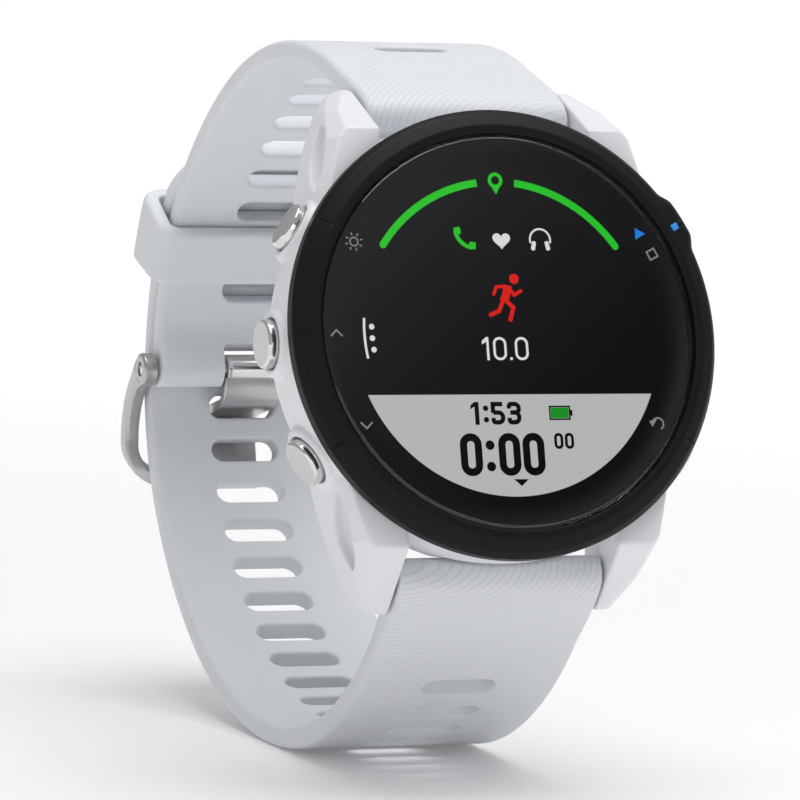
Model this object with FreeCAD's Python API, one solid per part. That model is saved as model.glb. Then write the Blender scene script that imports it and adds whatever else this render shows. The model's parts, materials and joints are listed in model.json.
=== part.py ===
import FreeCAD, Part
import math
import os
from FreeCAD import Placement, Rotation, Vector

# A round running watch with a buckled strap, standing on its strap loop with the face tilted up.
# Everything is modelled in the watch's own frame: X to 3 o'clock, Y to 12 o'clock, Z out of the face,
# with Z = 0 at the top of the bezel. The last step tilts the whole watch into its standing pose.

# ---- Driving dimensions, in millimetres and degrees ----
FACE_TILT = 16.0            # how far the face looks up when the watch stands on its strap

BEZEL_R = 22.8              # the case is 45.6 mm across its bezel
BEZEL_BOTTOM = -2.9
LENS_R = 20.0
LENS_TOP = -0.05
LENS_BOTTOM = -1.25
DISPLAY_R = 17.4            # the panel; its lit area is 16.5 mm in radius
CASE_TOP = -2.95
CASE_R = 22.5
CAVITY_R = 20.0
CASE_BACK = -11.6
SENSOR_BACK = -12.9         # the total thickness is 12.9 mm

BUTTON_DEPTH = -7.0         # the plane of the five button axes
BUTTON_ANGLES = {           # counter-clockwise from 3 o'clock
    "light": 149.5,
    "up": 180.0,
    "down": 210.5,
    "start": 30.5,
    "back": -30.5,
}
BUTTON_FACE = 24.0          # from the watch's axis to the face of a button
BUTTON_R = 2.45
BUTTON_TRAVEL = 0.45
BOSS_R = 3.45
BOSS_FACE = 23.1
POCKET_R = 2.62
POCKET_FLOOR = 21.0
STEM_R = 0.75
STEM_END = 18.7
STEM_CLEARANCE = 0.05
SLEEVE_R = 1.5

STRAP_WIDTH = 22.0
STRAP_THICK = 2.3
LUG_GAP = 22.6              # between the lugs
LUG_BREAK = 21.2            # where a lug's top face starts to fall away
LUG_SLOPE = 1.27            # how far it falls for each millimetre of reach
BAND_INSET = 0.75           # the chamfer band between a lug's top face and its outer wall
BAND_DROP = 1.7
LEAF_LENGTH = 8.4           # the leaf-shaped pocket in each lug's outer wall
LEAF_WIDTH = 3.6
LEAF_DEPTH = 1.1
LEAF_TILT = 20.0            # its far end lies deeper
LEAF_FACING = 15.0          # the way the lug's outer wall faces
LEAF_PLACE = Vector(16.85, 18.9, -6.6)
LUG_REACH = 26.8            # from the watch's centre to a lug's end
BAR_REACH = 23.6            # spring bar axis, towards 12 or 6 o'clock
BAR_DEPTH = 8.8             # spring bar axis, behind the bezel's top
BAR_R = 0.9
BAR_END = 10.9              # from the watch's middle to an end of a spring bar's tube
PIN_R = 0.55
PIN_TIP = 12.3              # from the watch's middle to the tip of a pin in its lug
PIN_CLEARANCE = 0.05
ROOT_R = 2.2                # the strap's tube round the spring bar
ROOT_TAPER = 9.0            # the length over which it thins to the strip
RELEASE_TRAVEL = 1.2        # how far a quick-release pin draws in
RELEASE_POST = (-5.05, -4.25)   # along X, the post that joins the pin to its knob
RELEASE_KNOB = (-5.5, -3.8)

SCREW_X = 13.7              # the four rear cover screws
SCREW_Y = 15.6
SCREW_HEAD_R = 1.0
SCREW_SHANK_R = 0.5
PORT_X = 3.55               # half the charging port's width
PORT_Y = (-15.55, -12.65)
CONTACT_R = 0.4
CONTACT_ROW_Y = -14.1
CONTACT_PLACES = (-2.25, -0.75, 0.75, 2.25)

SLOT_LENGTH = 7.8
SLOT_HEIGHT = 2.6
SLOT_PITCH = 5.13

# Each strap half leaves its spring bar at a heading and then bends round the wrist in tangent arcs,
# given as (radius of its middle surface, turn).
BUCKLE_HALF_HEADING = 47.23
BUCKLE_HALF_ARCS = [(39.41, 61.97), (51.58, 13.93), (32.7, 46.33)]
HOLE_HALF_HEADING = 45.3
HOLE_HALF_ARCS = [(41.5, 32.5), (34.1, 20.5), (44.2, 60.0)]
TAIL_BLEND_R = 28.0         # the short bend that brings the tail down onto the buckle half
TAIL_GAP = 0.35             # between the tail and the buckle half under it
TAIL_END_ANGLE = 59.0       # where the tail ends, seen from the centre of the buckle half's last arc

BUCKLE_SLOTS = 12
BUCKLE_FIRST_SLOT = 15.86   # along the buckle half, from the spring bar
HOLE_SLOTS = 20
HOLE_FIRST_SLOT = 14.95     # along the hole half, from the spring bar

KEEPER_ANGLE = 40.0         # its middle, seen from the centre of the buckle half's last arc
KEEPER_SPAN = 12.4
KEEPER_WALL = 1.7
KEEPER_PLAY = 0.3
SWAY_ROOM = 0.55            # lets the two strap halves sway together on their spring bars

BUCKLE_PIN_R = 0.8
PIN_TUBE_R = 2.0
PIN_INSET = 0.8             # the pin lies this far to the wrist side of the strap's middle
BUCKLE_PLAY = 0.35
FRAME_ARM = 1.6
FRAME_THICK = 2.2
FRAME_BULGE = 3.0
BOSS_END_R = 1.8
FAR_BAR_ANGLE = -11.8       # seen from the centre of the hole half's third arc
TONGUE_WIDTH = 6.6
TONGUE_THICK = 1.1
TONGUE_HUB_R = 1.6
TONGUE_SLOT = 17            # counted from the spring bar

nodes = {}


# ---- Helpers ----
def disc(radius, low, high):
    return Part.makeCylinder(radius, high - low, Vector(0, 0, low))


def ring(inner, outer, low, high):
    return disc(outer, low, high).cut(disc(inner, low - 1, high + 1))


def block(low, high):
    size = high.sub(low)
    return Part.makeBox(size.x, size.y, size.z, low)


def turned(points):
    """A closed (radius, height) outline turned about the watch's axis."""
    corners = [Vector(r, 0, z) for r, z in points]
    face = Part.Face(Part.makePolygon(corners + corners[:1]))
    return face.revolve(Vector(0, 0, 0), Vector(0, 0, 1), 360)


def prism(points, direction):
    """A closed outline of vectors pushed along a direction."""
    return Part.Face(Part.makePolygon(points + points[:1])).extrude(direction)


def rod(radius, x0, x1, reach, depth):
    """A cylinder along X at a place in the side view."""
    return Part.makeCylinder(radius, x1 - x0, Vector(x0, reach, depth), Vector(1, 0, 0))


def mirrored_x(shape):
    return shape.mirror(Vector(0, 0, 0), Vector(1, 0, 0))


def mirrored_y(shape):
    return shape.mirror(Vector(0, 0, 0), Vector(0, 1, 0))


def fuse(shapes):
    return shapes[0].multiFuse(shapes[1:]).removeSplitter()


def coil(radius, wire, length, turns):
    """A helical spring along +Z from the origin, its wire drawn with six flats."""
    path = Part.makeHelix(length / turns, length, radius)
    corners = []
    for number in range(6):
        a = math.radians(60 * number)
        corners.append(Vector(radius + wire * math.cos(a), 0, wire * math.sin(a)))
    section = Part.makePolygon(corners + corners[:1])
    return Part.Wire(path).makePipeShell([section], True, True)


def at_button(shape, angle):
    """Take a shape built along +X at Z = 0 to a button's axis."""
    moved = shape.copy()
    axis = Placement(Vector(0, 0, BUTTON_DEPTH), Rotation(Vector(0, 0, 1), angle))
    moved.Placement = axis.multiply(shape.Placement)
    return moved


def radial(radius, inner, outer):
    """A cylinder along +X between two distances from the watch's axis."""
    return Part.makeCylinder(radius, outer - inner, Vector(inner, 0, 0), Vector(1, 0, 0))


# ---- The strap's side view: (depth behind the bezel, reach from the watch's centre) ----
class Arc:
    def __init__(self, centre, radius, start, end):
        self.centre = centre
        self.radius = radius
        self.start = start      # direction angle from the centre, in degrees
        self.end = end

    def point(self, angle, offset=0.0):
        r = self.radius + offset
        a = math.radians(angle)
        return (self.centre[0] + r * math.cos(a), self.centre[1] + r * math.sin(a))

    def length(self):
        return self.radius * math.radians(self.start - self.end)


def arc_chain(heading, arcs):
    """Tangent arcs from the spring bar; each one turns towards the wrist."""
    place = (BAR_DEPTH, BAR_REACH)
    angle = heading + 90.0
    chain = []
    for radius, turn in arcs:
        a = math.radians(angle)
        centre = (place[0] - radius * math.cos(a), place[1] - radius * math.sin(a))
        arc = Arc(centre, radius, angle, angle - turn)
        chain.append(arc)
        angle -= turn
        place = arc.point(angle)
    return chain


def direction(start, end):
    return math.degrees(math.atan2(end[1] - start[1], end[0] - start[0]))


def blended(first, last, radius):
    """End first and start last where an arc of this radius touches both from inside."""
    r1 = first.radius - radius
    r2 = last.radius - radius
    dx = last.centre[0] - first.centre[0]
    dy = last.centre[1] - first.centre[1]
    apart = math.hypot(dx, dy)
    along = (r1 * r1 - r2 * r2 + apart * apart) / (2 * apart)
    across = math.sqrt(r1 * r1 - along * along)
    ux, uy = dx / apart, dy / apart
    sides = []
    for sign in (1, -1):
        sides.append((first.centre[0] + along * ux - sign * across * uy,
                      first.centre[1] + along * uy + sign * across * ux))
    centre = max(sides)
    first.end = direction(first.centre, centre)
    last.start = direction(last.centre, centre)
    return Arc(centre, radius, first.end, last.start)


def in_view(point, side, x):
    return Vector(x, side * point[1], -point[0])


def place_on(chain, distance):
    """The arc and direction angle at a distance along a chain's middle surface."""
    for arc in chain:
        if distance <= arc.length() or arc is chain[-1]:
            return arc, arc.start - math.degrees(distance / arc.radius)
        distance -= arc.length()


def band(chain, side, thick, width):
    """A strip of even thickness that follows a chain, centred on X = 0."""
    half = thick / 2
    x0 = -width / 2
    edges = []
    for arc in chain:
        angles = (arc.start, (arc.start + arc.end) / 2, arc.end)
        edges.append(Part.Arc(*[in_view(arc.point(a, half), side, x0) for a in angles]).toShape())
    tip = chain[-1]
    edges.append(Part.makeLine(in_view(tip.point(tip.end, half), side, x0),
                               in_view(tip.point(tip.end, -half), side, x0)))
    for arc in reversed(chain):
        angles = (arc.end, (arc.start + arc.end) / 2, arc.start)
        edges.append(Part.Arc(*[in_view(arc.point(a, -half), side, x0) for a in angles]).toShape())
    root = chain[0]
    edges.append(Part.makeLine(in_view(root.point(root.start, -half), side, x0),
                               in_view(root.point(root.start, half), side, x0)))
    return Part.Face(Part.Wire(edges)).extrude(Vector(width, 0, 0))


def across_strap(chain, side, distance, length, height, depth):
    """A round-ended cutter through the strap at a distance along it."""
    arc, angle = place_on(chain, distance)
    a = math.radians(angle)
    middle = in_view(arc.point(angle), side, 0)
    normal = Vector(0, side * math.sin(a), -math.cos(a))
    along = Vector(0, side * math.cos(a), math.sin(a))
    r = height / 2
    flat = length / 2 - r
    start = middle.sub(normal * (depth / 2))
    ends = [Part.makeCylinder(r, depth, start + Vector(s * flat, 0, 0), normal) for s in (-1, 1)]
    corners = []
    for sx, sy in ((-1, -1), (1, -1), (1, 1), (-1, 1)):
        corners.append(start + Vector(sx * flat, 0, 0) + along * (sy * r))
    return fuse(ends + [prism(corners, normal * depth)])


def mirrored_arc(arc):
    """The same arc seen from the other strap half's side."""
    return Arc((arc.centre[0], -arc.centre[1]), arc.radius, -arc.start, -arc.end)


buckle_chain = arc_chain(BUCKLE_HALF_HEADING, BUCKLE_HALF_ARCS)
wrap = buckle_chain[-1]         # its centre is the keeper's path centre
buckle_pin_place = wrap.point(wrap.end, -PIN_INSET)     # (depth, reach) towards 12 o'clock
tail = mirrored_arc(Arc(wrap.centre, wrap.radius + STRAP_THICK + TAIL_GAP, 0.0, TAIL_END_ANGLE))
hole_chain = arc_chain(HOLE_HALF_HEADING, HOLE_HALF_ARCS)
hole_chain.append(blended(hole_chain[-1], tail, TAIL_BLEND_R))
hole_chain.append(tail)


# ---- Case ----
def lug():
    """The lug at 12 o'clock on the +X side: a falling top face, a chamfer band and a leaf-shaped pocket."""
    half_gap = LUG_GAP / 2
    outer = [(13.3, LUG_REACH - 0.2), (15.1, 24.0), (16.5, 20.3),
             (17.3, 17.4), (18.0, 14.4), (18.2, 12.4)]
    plan = [(half_gap, 15.0), (half_gap, LUG_REACH)] + outer + [(15.0, 8.6)]
    outline = prism([Vector(x, y, -14) for x, y in plan], Vector(0, 0, 14))
    side = [(8.0, CASE_TOP), (LUG_BREAK, CASE_TOP), (26.5, lug_top(26.5)), (LUG_REACH, -10.6),
            (26.2, -12.0), (21.0, -11.9), (8.0, CASE_BACK)]
    profile = prism([Vector(8, y, z) for y, z in side], Vector(16, 0, 0))
    solid = outline.common(profile)
    for start, end in zip(outer, outer[1:]):
        solid = solid.cut(above_band(start, end))
    return solid.cut(leaf_pocket())


def lug_top(reach):
    """The height of the lug's top face, which falls away from the bezel."""
    return CASE_TOP - max(0.0, reach - LUG_BREAK) * LUG_SLOPE


def above_band(start, end):
    """All that lies outside the chamfer band over one stretch of the lug's outer wall."""
    length = math.hypot(end[0] - start[0], end[1] - start[1])
    inward_x = (end[1] - start[1]) / length * BAND_INSET
    inward_y = -(end[0] - start[0]) / length * BAND_INSET
    a = Vector(start[0], start[1], lug_top(start[1]) - BAND_DROP)
    b = Vector(end[0], end[1], lug_top(end[1]) - BAND_DROP)
    c = Vector(start[0] + inward_x, start[1] + inward_y, lug_top(start[1] + inward_y))
    along = b.sub(a).normalize()
    out = along.cross(c.sub(a)).normalize()
    if out.z < 0:
        out = out * -1
    rise = out.cross(along)
    corners = [a + along * (20 * i) + rise * (20 * j) for i, j in ((-1, -1), (1, -1), (1, 1), (-1, 1))]
    return prism(corners, out * 12)


def leaf_pocket():
    """What two crossing cylinders share, sunk into the outer wall of the lug."""
    radius = (LEAF_LENGTH ** 2 + LEAF_WIDTH ** 2) / (4 * LEAF_WIDTH)
    offset = radius - LEAF_WIDTH / 2
    above = Part.makeCylinder(radius, 4.0, Vector(-LEAF_DEPTH, 0, offset), Vector(1, 0, 0))
    below = Part.makeCylinder(radius, 4.0, Vector(-LEAF_DEPTH, 0, -offset), Vector(1, 0, 0))
    leaf = above.common(below)
    leaf.rotate(Vector(0, 0, 0), Vector(1, 0, 0), -LEAF_TILT)
    leaf.rotate(Vector(0, 0, 0), Vector(0, 0, 1), LEAF_FACING)
    leaf.translate(LEAF_PLACE)
    return leaf


def make_case():
    body = turned([(CAVITY_R, CASE_TOP), (22.2, CASE_TOP), (CASE_R, -3.4), (CASE_R, -8.0),
                   (22.1, -9.6), (21.2, -11.0), (20.4, CASE_BACK), (19.5, CASE_BACK),
                   (19.5, -10.5), (17.8, -10.5), (17.8, -9.8), (CAVITY_R, -9.8)])
    one_lug = lug().cut(disc(CAVITY_R + 0.5, -14, 0))
    pair = [one_lug, mirrored_x(one_lug)]
    lugs = pair + [mirrored_y(shape) for shape in pair]
    bosses = []
    cuts = []
    for angle in BUTTON_ANGLES.values():
        boss = radial(BOSS_R, CAVITY_R + 0.3, BOSS_FACE)
        boss = boss.makeChamfer(0.35, [boss.Edges[0]])
        bosses.append(at_button(boss, angle))
        cuts.append(at_button(radial(POCKET_R, POCKET_FLOOR, 30), angle))
        cuts.append(at_button(radial(SLEEVE_R, CAVITY_R - 1, 30), angle))
    body = fuse([body] + lugs + bosses)
    for side in (1, -1):
        place = (side * BAR_REACH, -BAR_DEPTH)
        cuts.append(rod(ROOT_R + 0.35, -LUG_GAP / 2, LUG_GAP / 2, *place))
        reach = [side * (BAR_REACH - 1.2), side * 30]
        cuts.append(block(Vector(-LUG_GAP / 2, min(reach), -14), Vector(LUG_GAP / 2, max(reach), -7)))
        cuts.append(rod(PIN_R + PIN_CLEARANCE, -PIN_TIP - 0.3, PIN_TIP + 0.3, *place))
    for x, y in screw_places():
        cuts.append(ear(x, y, 1.45, -13.0, -10.5))
        cuts.append(Part.makeCylinder(SCREW_SHANK_R, 3.4, Vector(x, y, CASE_BACK)))
    cuts.append(ring(18.2, 18.8, -10.6, -10.2))
    return body.cut(Part.makeCompound(cuts)).removeSplitter()


def screw_places():
    return [(sx * SCREW_X, sy * SCREW_Y) for sx in (-1, 1) for sy in (-1, 1)]


def ear(x, y, radius, low, high):
    """A round-ended tab that reaches from inside the rear opening out to a screw."""
    reach = math.hypot(x, y)
    tab = block(Vector(15.0, -radius, low), Vector(reach, radius, high))
    tab = tab.fuse(Part.makeCylinder(radius, high - low, Vector(reach, 0, low)))
    tab.rotate(Vector(0, 0, 0), Vector(0, 0, 1), math.degrees(math.atan2(y, x)))
    return tab.cut(disc(18.9, -14, 0))


def make_bezel():
    body = turned([(20.15, 0.0), (20.9, 0.0), (22.25, -0.75), (BEZEL_R, -1.35), (BEZEL_R, -2.6),
                   (22.6, BEZEL_BOTTOM), (19.9, BEZEL_BOTTOM), (19.9, -3.7), (19.2, -3.7),
                   (19.2, -2.1), (18.6, -2.1), (18.6, -1.4), (20.15, -1.4)])
    guard = block(Vector(21.0, -2.6, BEZEL_BOTTOM), Vector(23.5, 2.6, -1.3))
    guard = guard.makeFillet(0.5, [e for e in guard.Edges if e.BoundBox.XMin > 23.4])
    guard.rotate(Vector(0, 0, 0), Vector(0, 0, 1), BUTTON_ANGLES["start"])
    body = fuse([body, guard])
    marks = []
    for angle in BUTTON_ANGLES.values():
        mark = block(Vector(20.9, -0.09, -1.2), Vector(23.6, 0.09, 0.5))
        mark.Placement = Placement(Vector(0, 0, 0), Rotation(Vector(0, 0, 1), angle))
        marks.append(mark.common(ring(21.2, 22.2, -0.85, 0.5)))
    return body.cut(Part.makeCompound(marks))


def make_rear_cover():
    body = turned([(0, -10.55), (19.35, -10.55), (19.35, -11.2), (18.9, CASE_BACK), (10.5, -11.7),
                   (9.4, -12.5), (7.4, -12.6), (7.4, -11.4), (6.4, -11.4), (6.4, -11.15),
                   (0, -11.15)])
    ears = [ear(x, y, 1.3, CASE_BACK + 0.05, -10.55) for x, y in screw_places()]
    body = fuse([body] + ears)
    cuts = [disc(6.0, -11.3, -10.0)]
    cuts.append(block(Vector(-PORT_X - 0.05, PORT_Y[0] - 0.05, -13),
                      Vector(PORT_X + 0.05, PORT_Y[1] + 0.05, -10)))
    for x, y in screw_places():
        cuts.append(Part.makeCylinder(SCREW_SHANK_R + 0.25, 3, Vector(x, y, CASE_BACK - 1)))
        cuts.append(Part.makeCylinder(SCREW_HEAD_R + 0.05, 0.45, Vector(x, y, CASE_BACK - 0.01)))
    return body.cut(Part.makeCompound(cuts)).removeSplitter()


# ---- Front: lens and display ----
def make_front():
    nodes["cover_lens"] = turned([(0, LENS_TOP), (19.7, LENS_TOP), (LENS_R, LENS_TOP - 0.3),
                                  (LENS_R, LENS_BOTTOM), (0, LENS_BOTTOM)])
    nodes["lens_seal"] = ring(18.7, 19.9, -1.38, -1.27)
    nodes["display_module"] = disc(DISPLAY_R, -2.6, -1.3)


# ---- Inside the case ----
def make_inside():
    frame = ring(16.2, 17.0, -9.4, -2.8).fuse(disc(17.0, -3.4, -2.8))
    window = block(Vector(-4, 12, -4), Vector(4, 15, -2))
    for angle in BUTTON_ANGLES.values():
        recess = block(Vector(15.9, -1.9, -1.6), Vector(17.2, 1.9, 1.6))
        frame = frame.cut(at_button(recess, angle))
    nodes["inner_frame"] = frame.cut(window)

    board = disc(16.0, -4.5, -3.7)
    notch = block(Vector(-3, 13.5, -5), Vector(3, 17, -3))
    nodes["main_board"] = board.cut(notch)
    nodes["board_shields"] = Part.makeCompound([
        block(Vector(-11.0, -6.0, -5.6), Vector(-1.0, 5.0, -4.52)),
        block(Vector(1.0, -6.0, -5.6), Vector(10.5, 3.5, -4.52)),
    ])
    cell = block(Vector(-10.2, -12.0, -9.3), Vector(10.2, 6.0, -5.7))
    nodes["battery_cell"] = cell.makeFillet(0.8, cell.Edges)
    motor = Part.makeCylinder(4.0, 2.7, Vector(-4.6, 10.6, -8.5))
    nodes["vibration_motor"] = motor.fuse(Part.makeCylinder(1.0, 0.3, Vector(-4.6, 10.6, -5.8)))
    beeper = Part.makeCylinder(3.6, 1.8, Vector(5.2, 10.6, -8.5))
    nodes["beeper"] = beeper.cut(Part.makeCylinder(0.6, 1.0, Vector(5.2, 10.6, -9.0)))
    antenna = ring(17.6, 18.6, -5.2, -4.0)
    nodes["gps_antenna"] = antenna.cut(block(Vector(-1.2, 15, -6), Vector(1.2, 20, -3)))
    switch = block(Vector(16.2, -1.6, -1.2), Vector(17.9, 1.6, 1.2))
    switch = switch.fuse(radial(0.9, 17.8, STEM_END - BUTTON_TRAVEL - 0.05))
    nodes["button_switches"] = Part.makeCompound(
        [at_button(switch, angle) for angle in BUTTON_ANGLES.values()])


# ---- Back: cover, seal, screws, heart-rate sensor and charging port ----
def make_back():
    nodes["rear_cover"] = make_rear_cover()
    nodes["rear_seal"] = ring(18.25, 18.75, -10.53, -10.22)
    screws = []
    for x, y in screw_places():
        head = Part.makeCylinder(SCREW_HEAD_R, 0.4, Vector(x, y, CASE_BACK))
        shank = Part.makeCylinder(SCREW_SHANK_R, 2.9, Vector(x, y, CASE_BACK + 0.3))
        drive = Part.makeCylinder(0.5, 0.25, Vector(x, y, CASE_BACK - 0.01))
        screws.append(head.fuse(shank).cut(drive))
    nodes["rear_cover_screws"] = Part.makeCompound(screws)
    nodes["sensor_window"] = turned([(0, SENSOR_BACK), (5.6, SENSOR_BACK), (6.9, -12.75),
                                     (7.35, -12.55), (7.35, -11.42), (0, -11.42)])
    board = disc(5.8, -10.9, -10.3)
    tab = block(Vector(-2.0, -5.9, -10.5), Vector(2.0, 5.9, -10.3)).common(disc(5.9, -11, -10))
    nodes["sensor_board"] = board.fuse(tab)
    lamps = [block(Vector(-0.9, -0.9, -11.38), Vector(0.9, 0.9, -10.92))]
    for x, y in ((-3.2, 0), (3.2, 0), (0, 3.2), (0, -3.2)):
        lamps.append(block(Vector(x - 0.7, y - 0.7, -11.38), Vector(x + 0.7, y + 0.7, -10.92)))
    nodes["sensor_leds"] = Part.makeCompound(lamps)
    port = block(Vector(-PORT_X, PORT_Y[0], -11.55), Vector(PORT_X, PORT_Y[1], -10.0))
    port = port.cut(block(Vector(-3.0, -15.0, -12.0), Vector(3.0, -13.2, -11.0)))
    pins = []
    for x in CONTACT_PLACES:
        port = port.cut(Part.makeCylinder(CONTACT_R, 3, Vector(x, CONTACT_ROW_Y, -12)))
        pins.append(Part.makeCylinder(CONTACT_R, 1.5, Vector(x, CONTACT_ROW_Y, -11.3)))
    nodes["charging_port"] = port
    nodes["charging_contacts"] = Part.makeCompound(pins)


# ---- Buttons: cap and stem, seal, clip, spring and sleeve ----
def make_buttons():
    cap = radial(BUTTON_R, POCKET_FLOOR + BUTTON_TRAVEL + 0.15, BUTTON_FACE)
    rim = [e for e in cap.Edges if e.BoundBox.XMin > BUTTON_FACE - 0.01]
    cap = cap.makeChamfer(0.22, rim)
    cap = cap.cut(radial(2.0, 20, BUTTON_FACE - 1.1))
    stem = radial(STEM_R, STEM_END, BUTTON_FACE - 1.0)
    for inner, outer, radius in ((20.0, 20.7, 0.45), (19.2, 19.5, 0.5)):
        stem = stem.cut(radial(2.0, inner, outer).cut(radial(radius, inner, outer)))
    cap = cap.fuse(stem)
    seal = Part.makeTorus(0.61, 0.15, Vector(20.35, 0, 0), Vector(1, 0, 0))
    clip = radial(1.35, 19.22, 19.48).cut(radial(0.55, 19, 20))
    clip = clip.cut(block(Vector(19, -0.45, 0), Vector(20, 0.45, 2)))
    sleeve = radial(SLEEVE_R, 19.55, POCKET_FLOOR).cut(radial(STEM_R + STEM_CLEARANCE, 19, 22))
    spring = coil(1.6, 0.14, BUTTON_FACE - 1.1 - BUTTON_TRAVEL - POCKET_FLOOR - 0.45, 3.0)
    spring.Placement = Placement(Vector(POCKET_FLOOR + 0.2, 0, 0), Rotation(Vector(0, 1, 0), 90))
    sleeves = []
    for name, angle in BUTTON_ANGLES.items():
        nodes[name + "_button"] = at_button(cap, angle)
        nodes[name + "_button_seal"] = at_button(seal, angle)
        nodes[name + "_button_clip"] = at_button(clip, angle)
        nodes[name + "_button_spring"] = at_button(spring, angle)
        sleeves.append(at_button(sleeve, angle))
    nodes["button_sleeves"] = Part.makeCompound(sleeves)


# ---- Spring bars with their quick-release pins ----
def make_spring_bar(name, side):
    place = (side * BAR_REACH, -BAR_DEPTH)
    reach = place[0]
    post_start, post_end = RELEASE_POST
    knob_start, knob_end = RELEASE_KNOB
    bore = rod(PIN_R + PIN_CLEARANCE, -BAR_END - 0.1, BAR_END + 0.1, *place)
    window = block(Vector(post_start - 0.15, reach - 0.5, -12),
                   Vector(post_end + RELEASE_TRAVEL + 0.15, reach + 0.5, -BAR_DEPTH))
    nodes[name + "_bar_tube"] = rod(BAR_R, -BAR_END, BAR_END, *place).cut(bore).cut(window)
    nodes[name + "_bar_pin"] = rod(PIN_R, BAR_END - 1.5, PIN_TIP, *place)
    plunger = rod(PIN_R, -PIN_TIP, post_end + 0.05, *place)
    post = block(Vector(post_start, reach - 0.4, -11.55), Vector(post_end, reach + 0.4, -BAR_DEPTH))
    knob = block(Vector(knob_start, reach - 1.1, -12.0), Vector(knob_end, reach + 1.1, -11.35))
    nodes[name + "_release_pin"] = fuse([plunger, post, knob])
    start = post_end + 0.25 + RELEASE_TRAVEL
    spring = coil(0.42, 0.1, BAR_END - 1.6 - start, 14.0)
    spring.Placement = Placement(Vector(start, *place), Rotation(Vector(0, 1, 0), 90))
    nodes[name + "_bar_spring"] = spring


# ---- Strap halves ----
def strap_root(chain, side):
    """The thick end: a tube round the spring bar that tapers into the strip."""
    place = (side * BAR_REACH, -BAR_DEPTH)
    tube = rod(ROOT_R, -STRAP_WIDTH / 2, STRAP_WIDTH / 2, *place)
    arc, angle = place_on(chain, ROOT_TAPER)
    half = STRAP_THICK / 2
    start = chain[0]
    corners = [start.point(start.start - 1.0, ROOT_R), arc.point(angle, half - 0.02),
               arc.point(angle, 0.02 - half), start.point(start.start - 1.0, -ROOT_R)]
    edge = -STRAP_WIDTH / 2
    wedge = prism([in_view(corner, side, edge) for corner in corners], Vector(STRAP_WIDTH, 0, 0))
    return [tube, wedge]


def root_cuts(side):
    """The bar's bore, and the window that the release knob stands in."""
    reach = side * BAR_REACH
    knob_start, knob_end = RELEASE_KNOB
    window = block(Vector(knob_start - 0.7, reach - 1.6, -14),
                   Vector(knob_end + RELEASE_TRAVEL + 0.4, reach + 1.6, -BAR_DEPTH))
    return [rod(BAR_R + 0.05, -STRAP_WIDTH, STRAP_WIDTH, reach, -BAR_DEPTH), window]


def make_buckle_strap():
    chain = buckle_chain
    depth, reach = buckle_pin_place
    strip = band(chain, 1, STRAP_THICK, STRAP_WIDTH)
    pin_tube = rod(PIN_TUBE_R, -STRAP_WIDTH / 2, STRAP_WIDTH / 2, reach, -depth)
    body = fuse([strip] + strap_root(chain, 1) + [pin_tube])
    cuts = root_cuts(1)
    cuts.append(rod(BUCKLE_PIN_R + 0.05, -STRAP_WIDTH, STRAP_WIDTH, reach, -depth))
    notch_x = TONGUE_WIDTH / 2 + 0.3
    cuts.append(block(Vector(-notch_x, reach - 4, -depth - 4), Vector(notch_x, reach + 2.6, -depth + 4)))
    for number in range(BUCKLE_SLOTS):
        distance = BUCKLE_FIRST_SLOT + number * SLOT_PITCH
        cuts.append(across_strap(chain, 1, distance, SLOT_LENGTH, SLOT_HEIGHT, 6.0))
    return body.cut(Part.makeCompound(cuts)).removeSplitter()


def make_hole_strap():
    chain = hole_chain
    strip = band(chain, -1, STRAP_THICK, STRAP_WIDTH)
    body = fuse([strip] + strap_root(chain, -1))
    cuts = root_cuts(-1)
    for number in range(HOLE_SLOTS):
        distance = HOLE_FIRST_SLOT + number * SLOT_PITCH
        cuts.append(across_strap(chain, -1, distance, SLOT_LENGTH, SLOT_HEIGHT, 6.0))
    return body.cut(Part.makeCompound(cuts)).removeSplitter()


def make_keeper():
    """A loop turned about the centre of the strap's curve, so that it can slide along the strap."""
    depth, reach = wrap.centre

    def sector(low, high, half_width, corner):
        section = [(half_width - corner, high), (corner - half_width, high),
                   (-half_width, high - corner), (-half_width, low + corner),
                   (corner - half_width, low), (half_width - corner, low),
                   (half_width, low + corner), (half_width, high - corner)]
        points = [Vector(x, r, 0) for x, r in section]
        face = Part.Face(Part.makePolygon(points + points[:1]))
        solid = face.revolve(Vector(0, 0, 0), Vector(1, 0, 0), KEEPER_SPAN)
        solid.rotate(Vector(0, 0, 0), Vector(1, 0, 0), KEEPER_ANGLE - KEEPER_SPAN / 2 - 90)
        solid.translate(Vector(0, reach, -depth))
        return solid

    inner = wrap.radius - STRAP_THICK / 2 - KEEPER_PLAY
    outer = tail.radius + STRAP_THICK / 2 + KEEPER_PLAY + SWAY_ROOM
    half = STRAP_WIDTH / 2 + KEEPER_PLAY
    shell = sector(inner - KEEPER_WALL, outer + KEEPER_WALL, half + KEEPER_WALL, 1.6)
    return shell.cut(sector(inner, outer, half, 0.3))


# ---- Buckle ----
def bent_bar(points, thick, x0, x1):
    """A bar of even thickness along corners in the side view, with rounded bends."""
    half = thick / 2
    pieces = []
    for point in points:
        pieces.append(rod(half, x0, x1, point[1], -point[0]))
    for start, end in zip(points, points[1:]):
        length = math.hypot(end[0] - start[0], end[1] - start[1])
        nx = -(end[1] - start[1]) / length * half
        ny = (end[0] - start[0]) / length * half
        corners = [(start[0] + nx, start[1] + ny), (end[0] + nx, end[1] + ny),
                   (end[0] - nx, end[1] - ny), (start[0] - nx, start[1] - ny)]
        pieces.append(prism([in_view(c, 1, x0) for c in corners], Vector(x1 - x0, 0, 0)))
    return fuse(pieces)


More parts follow.
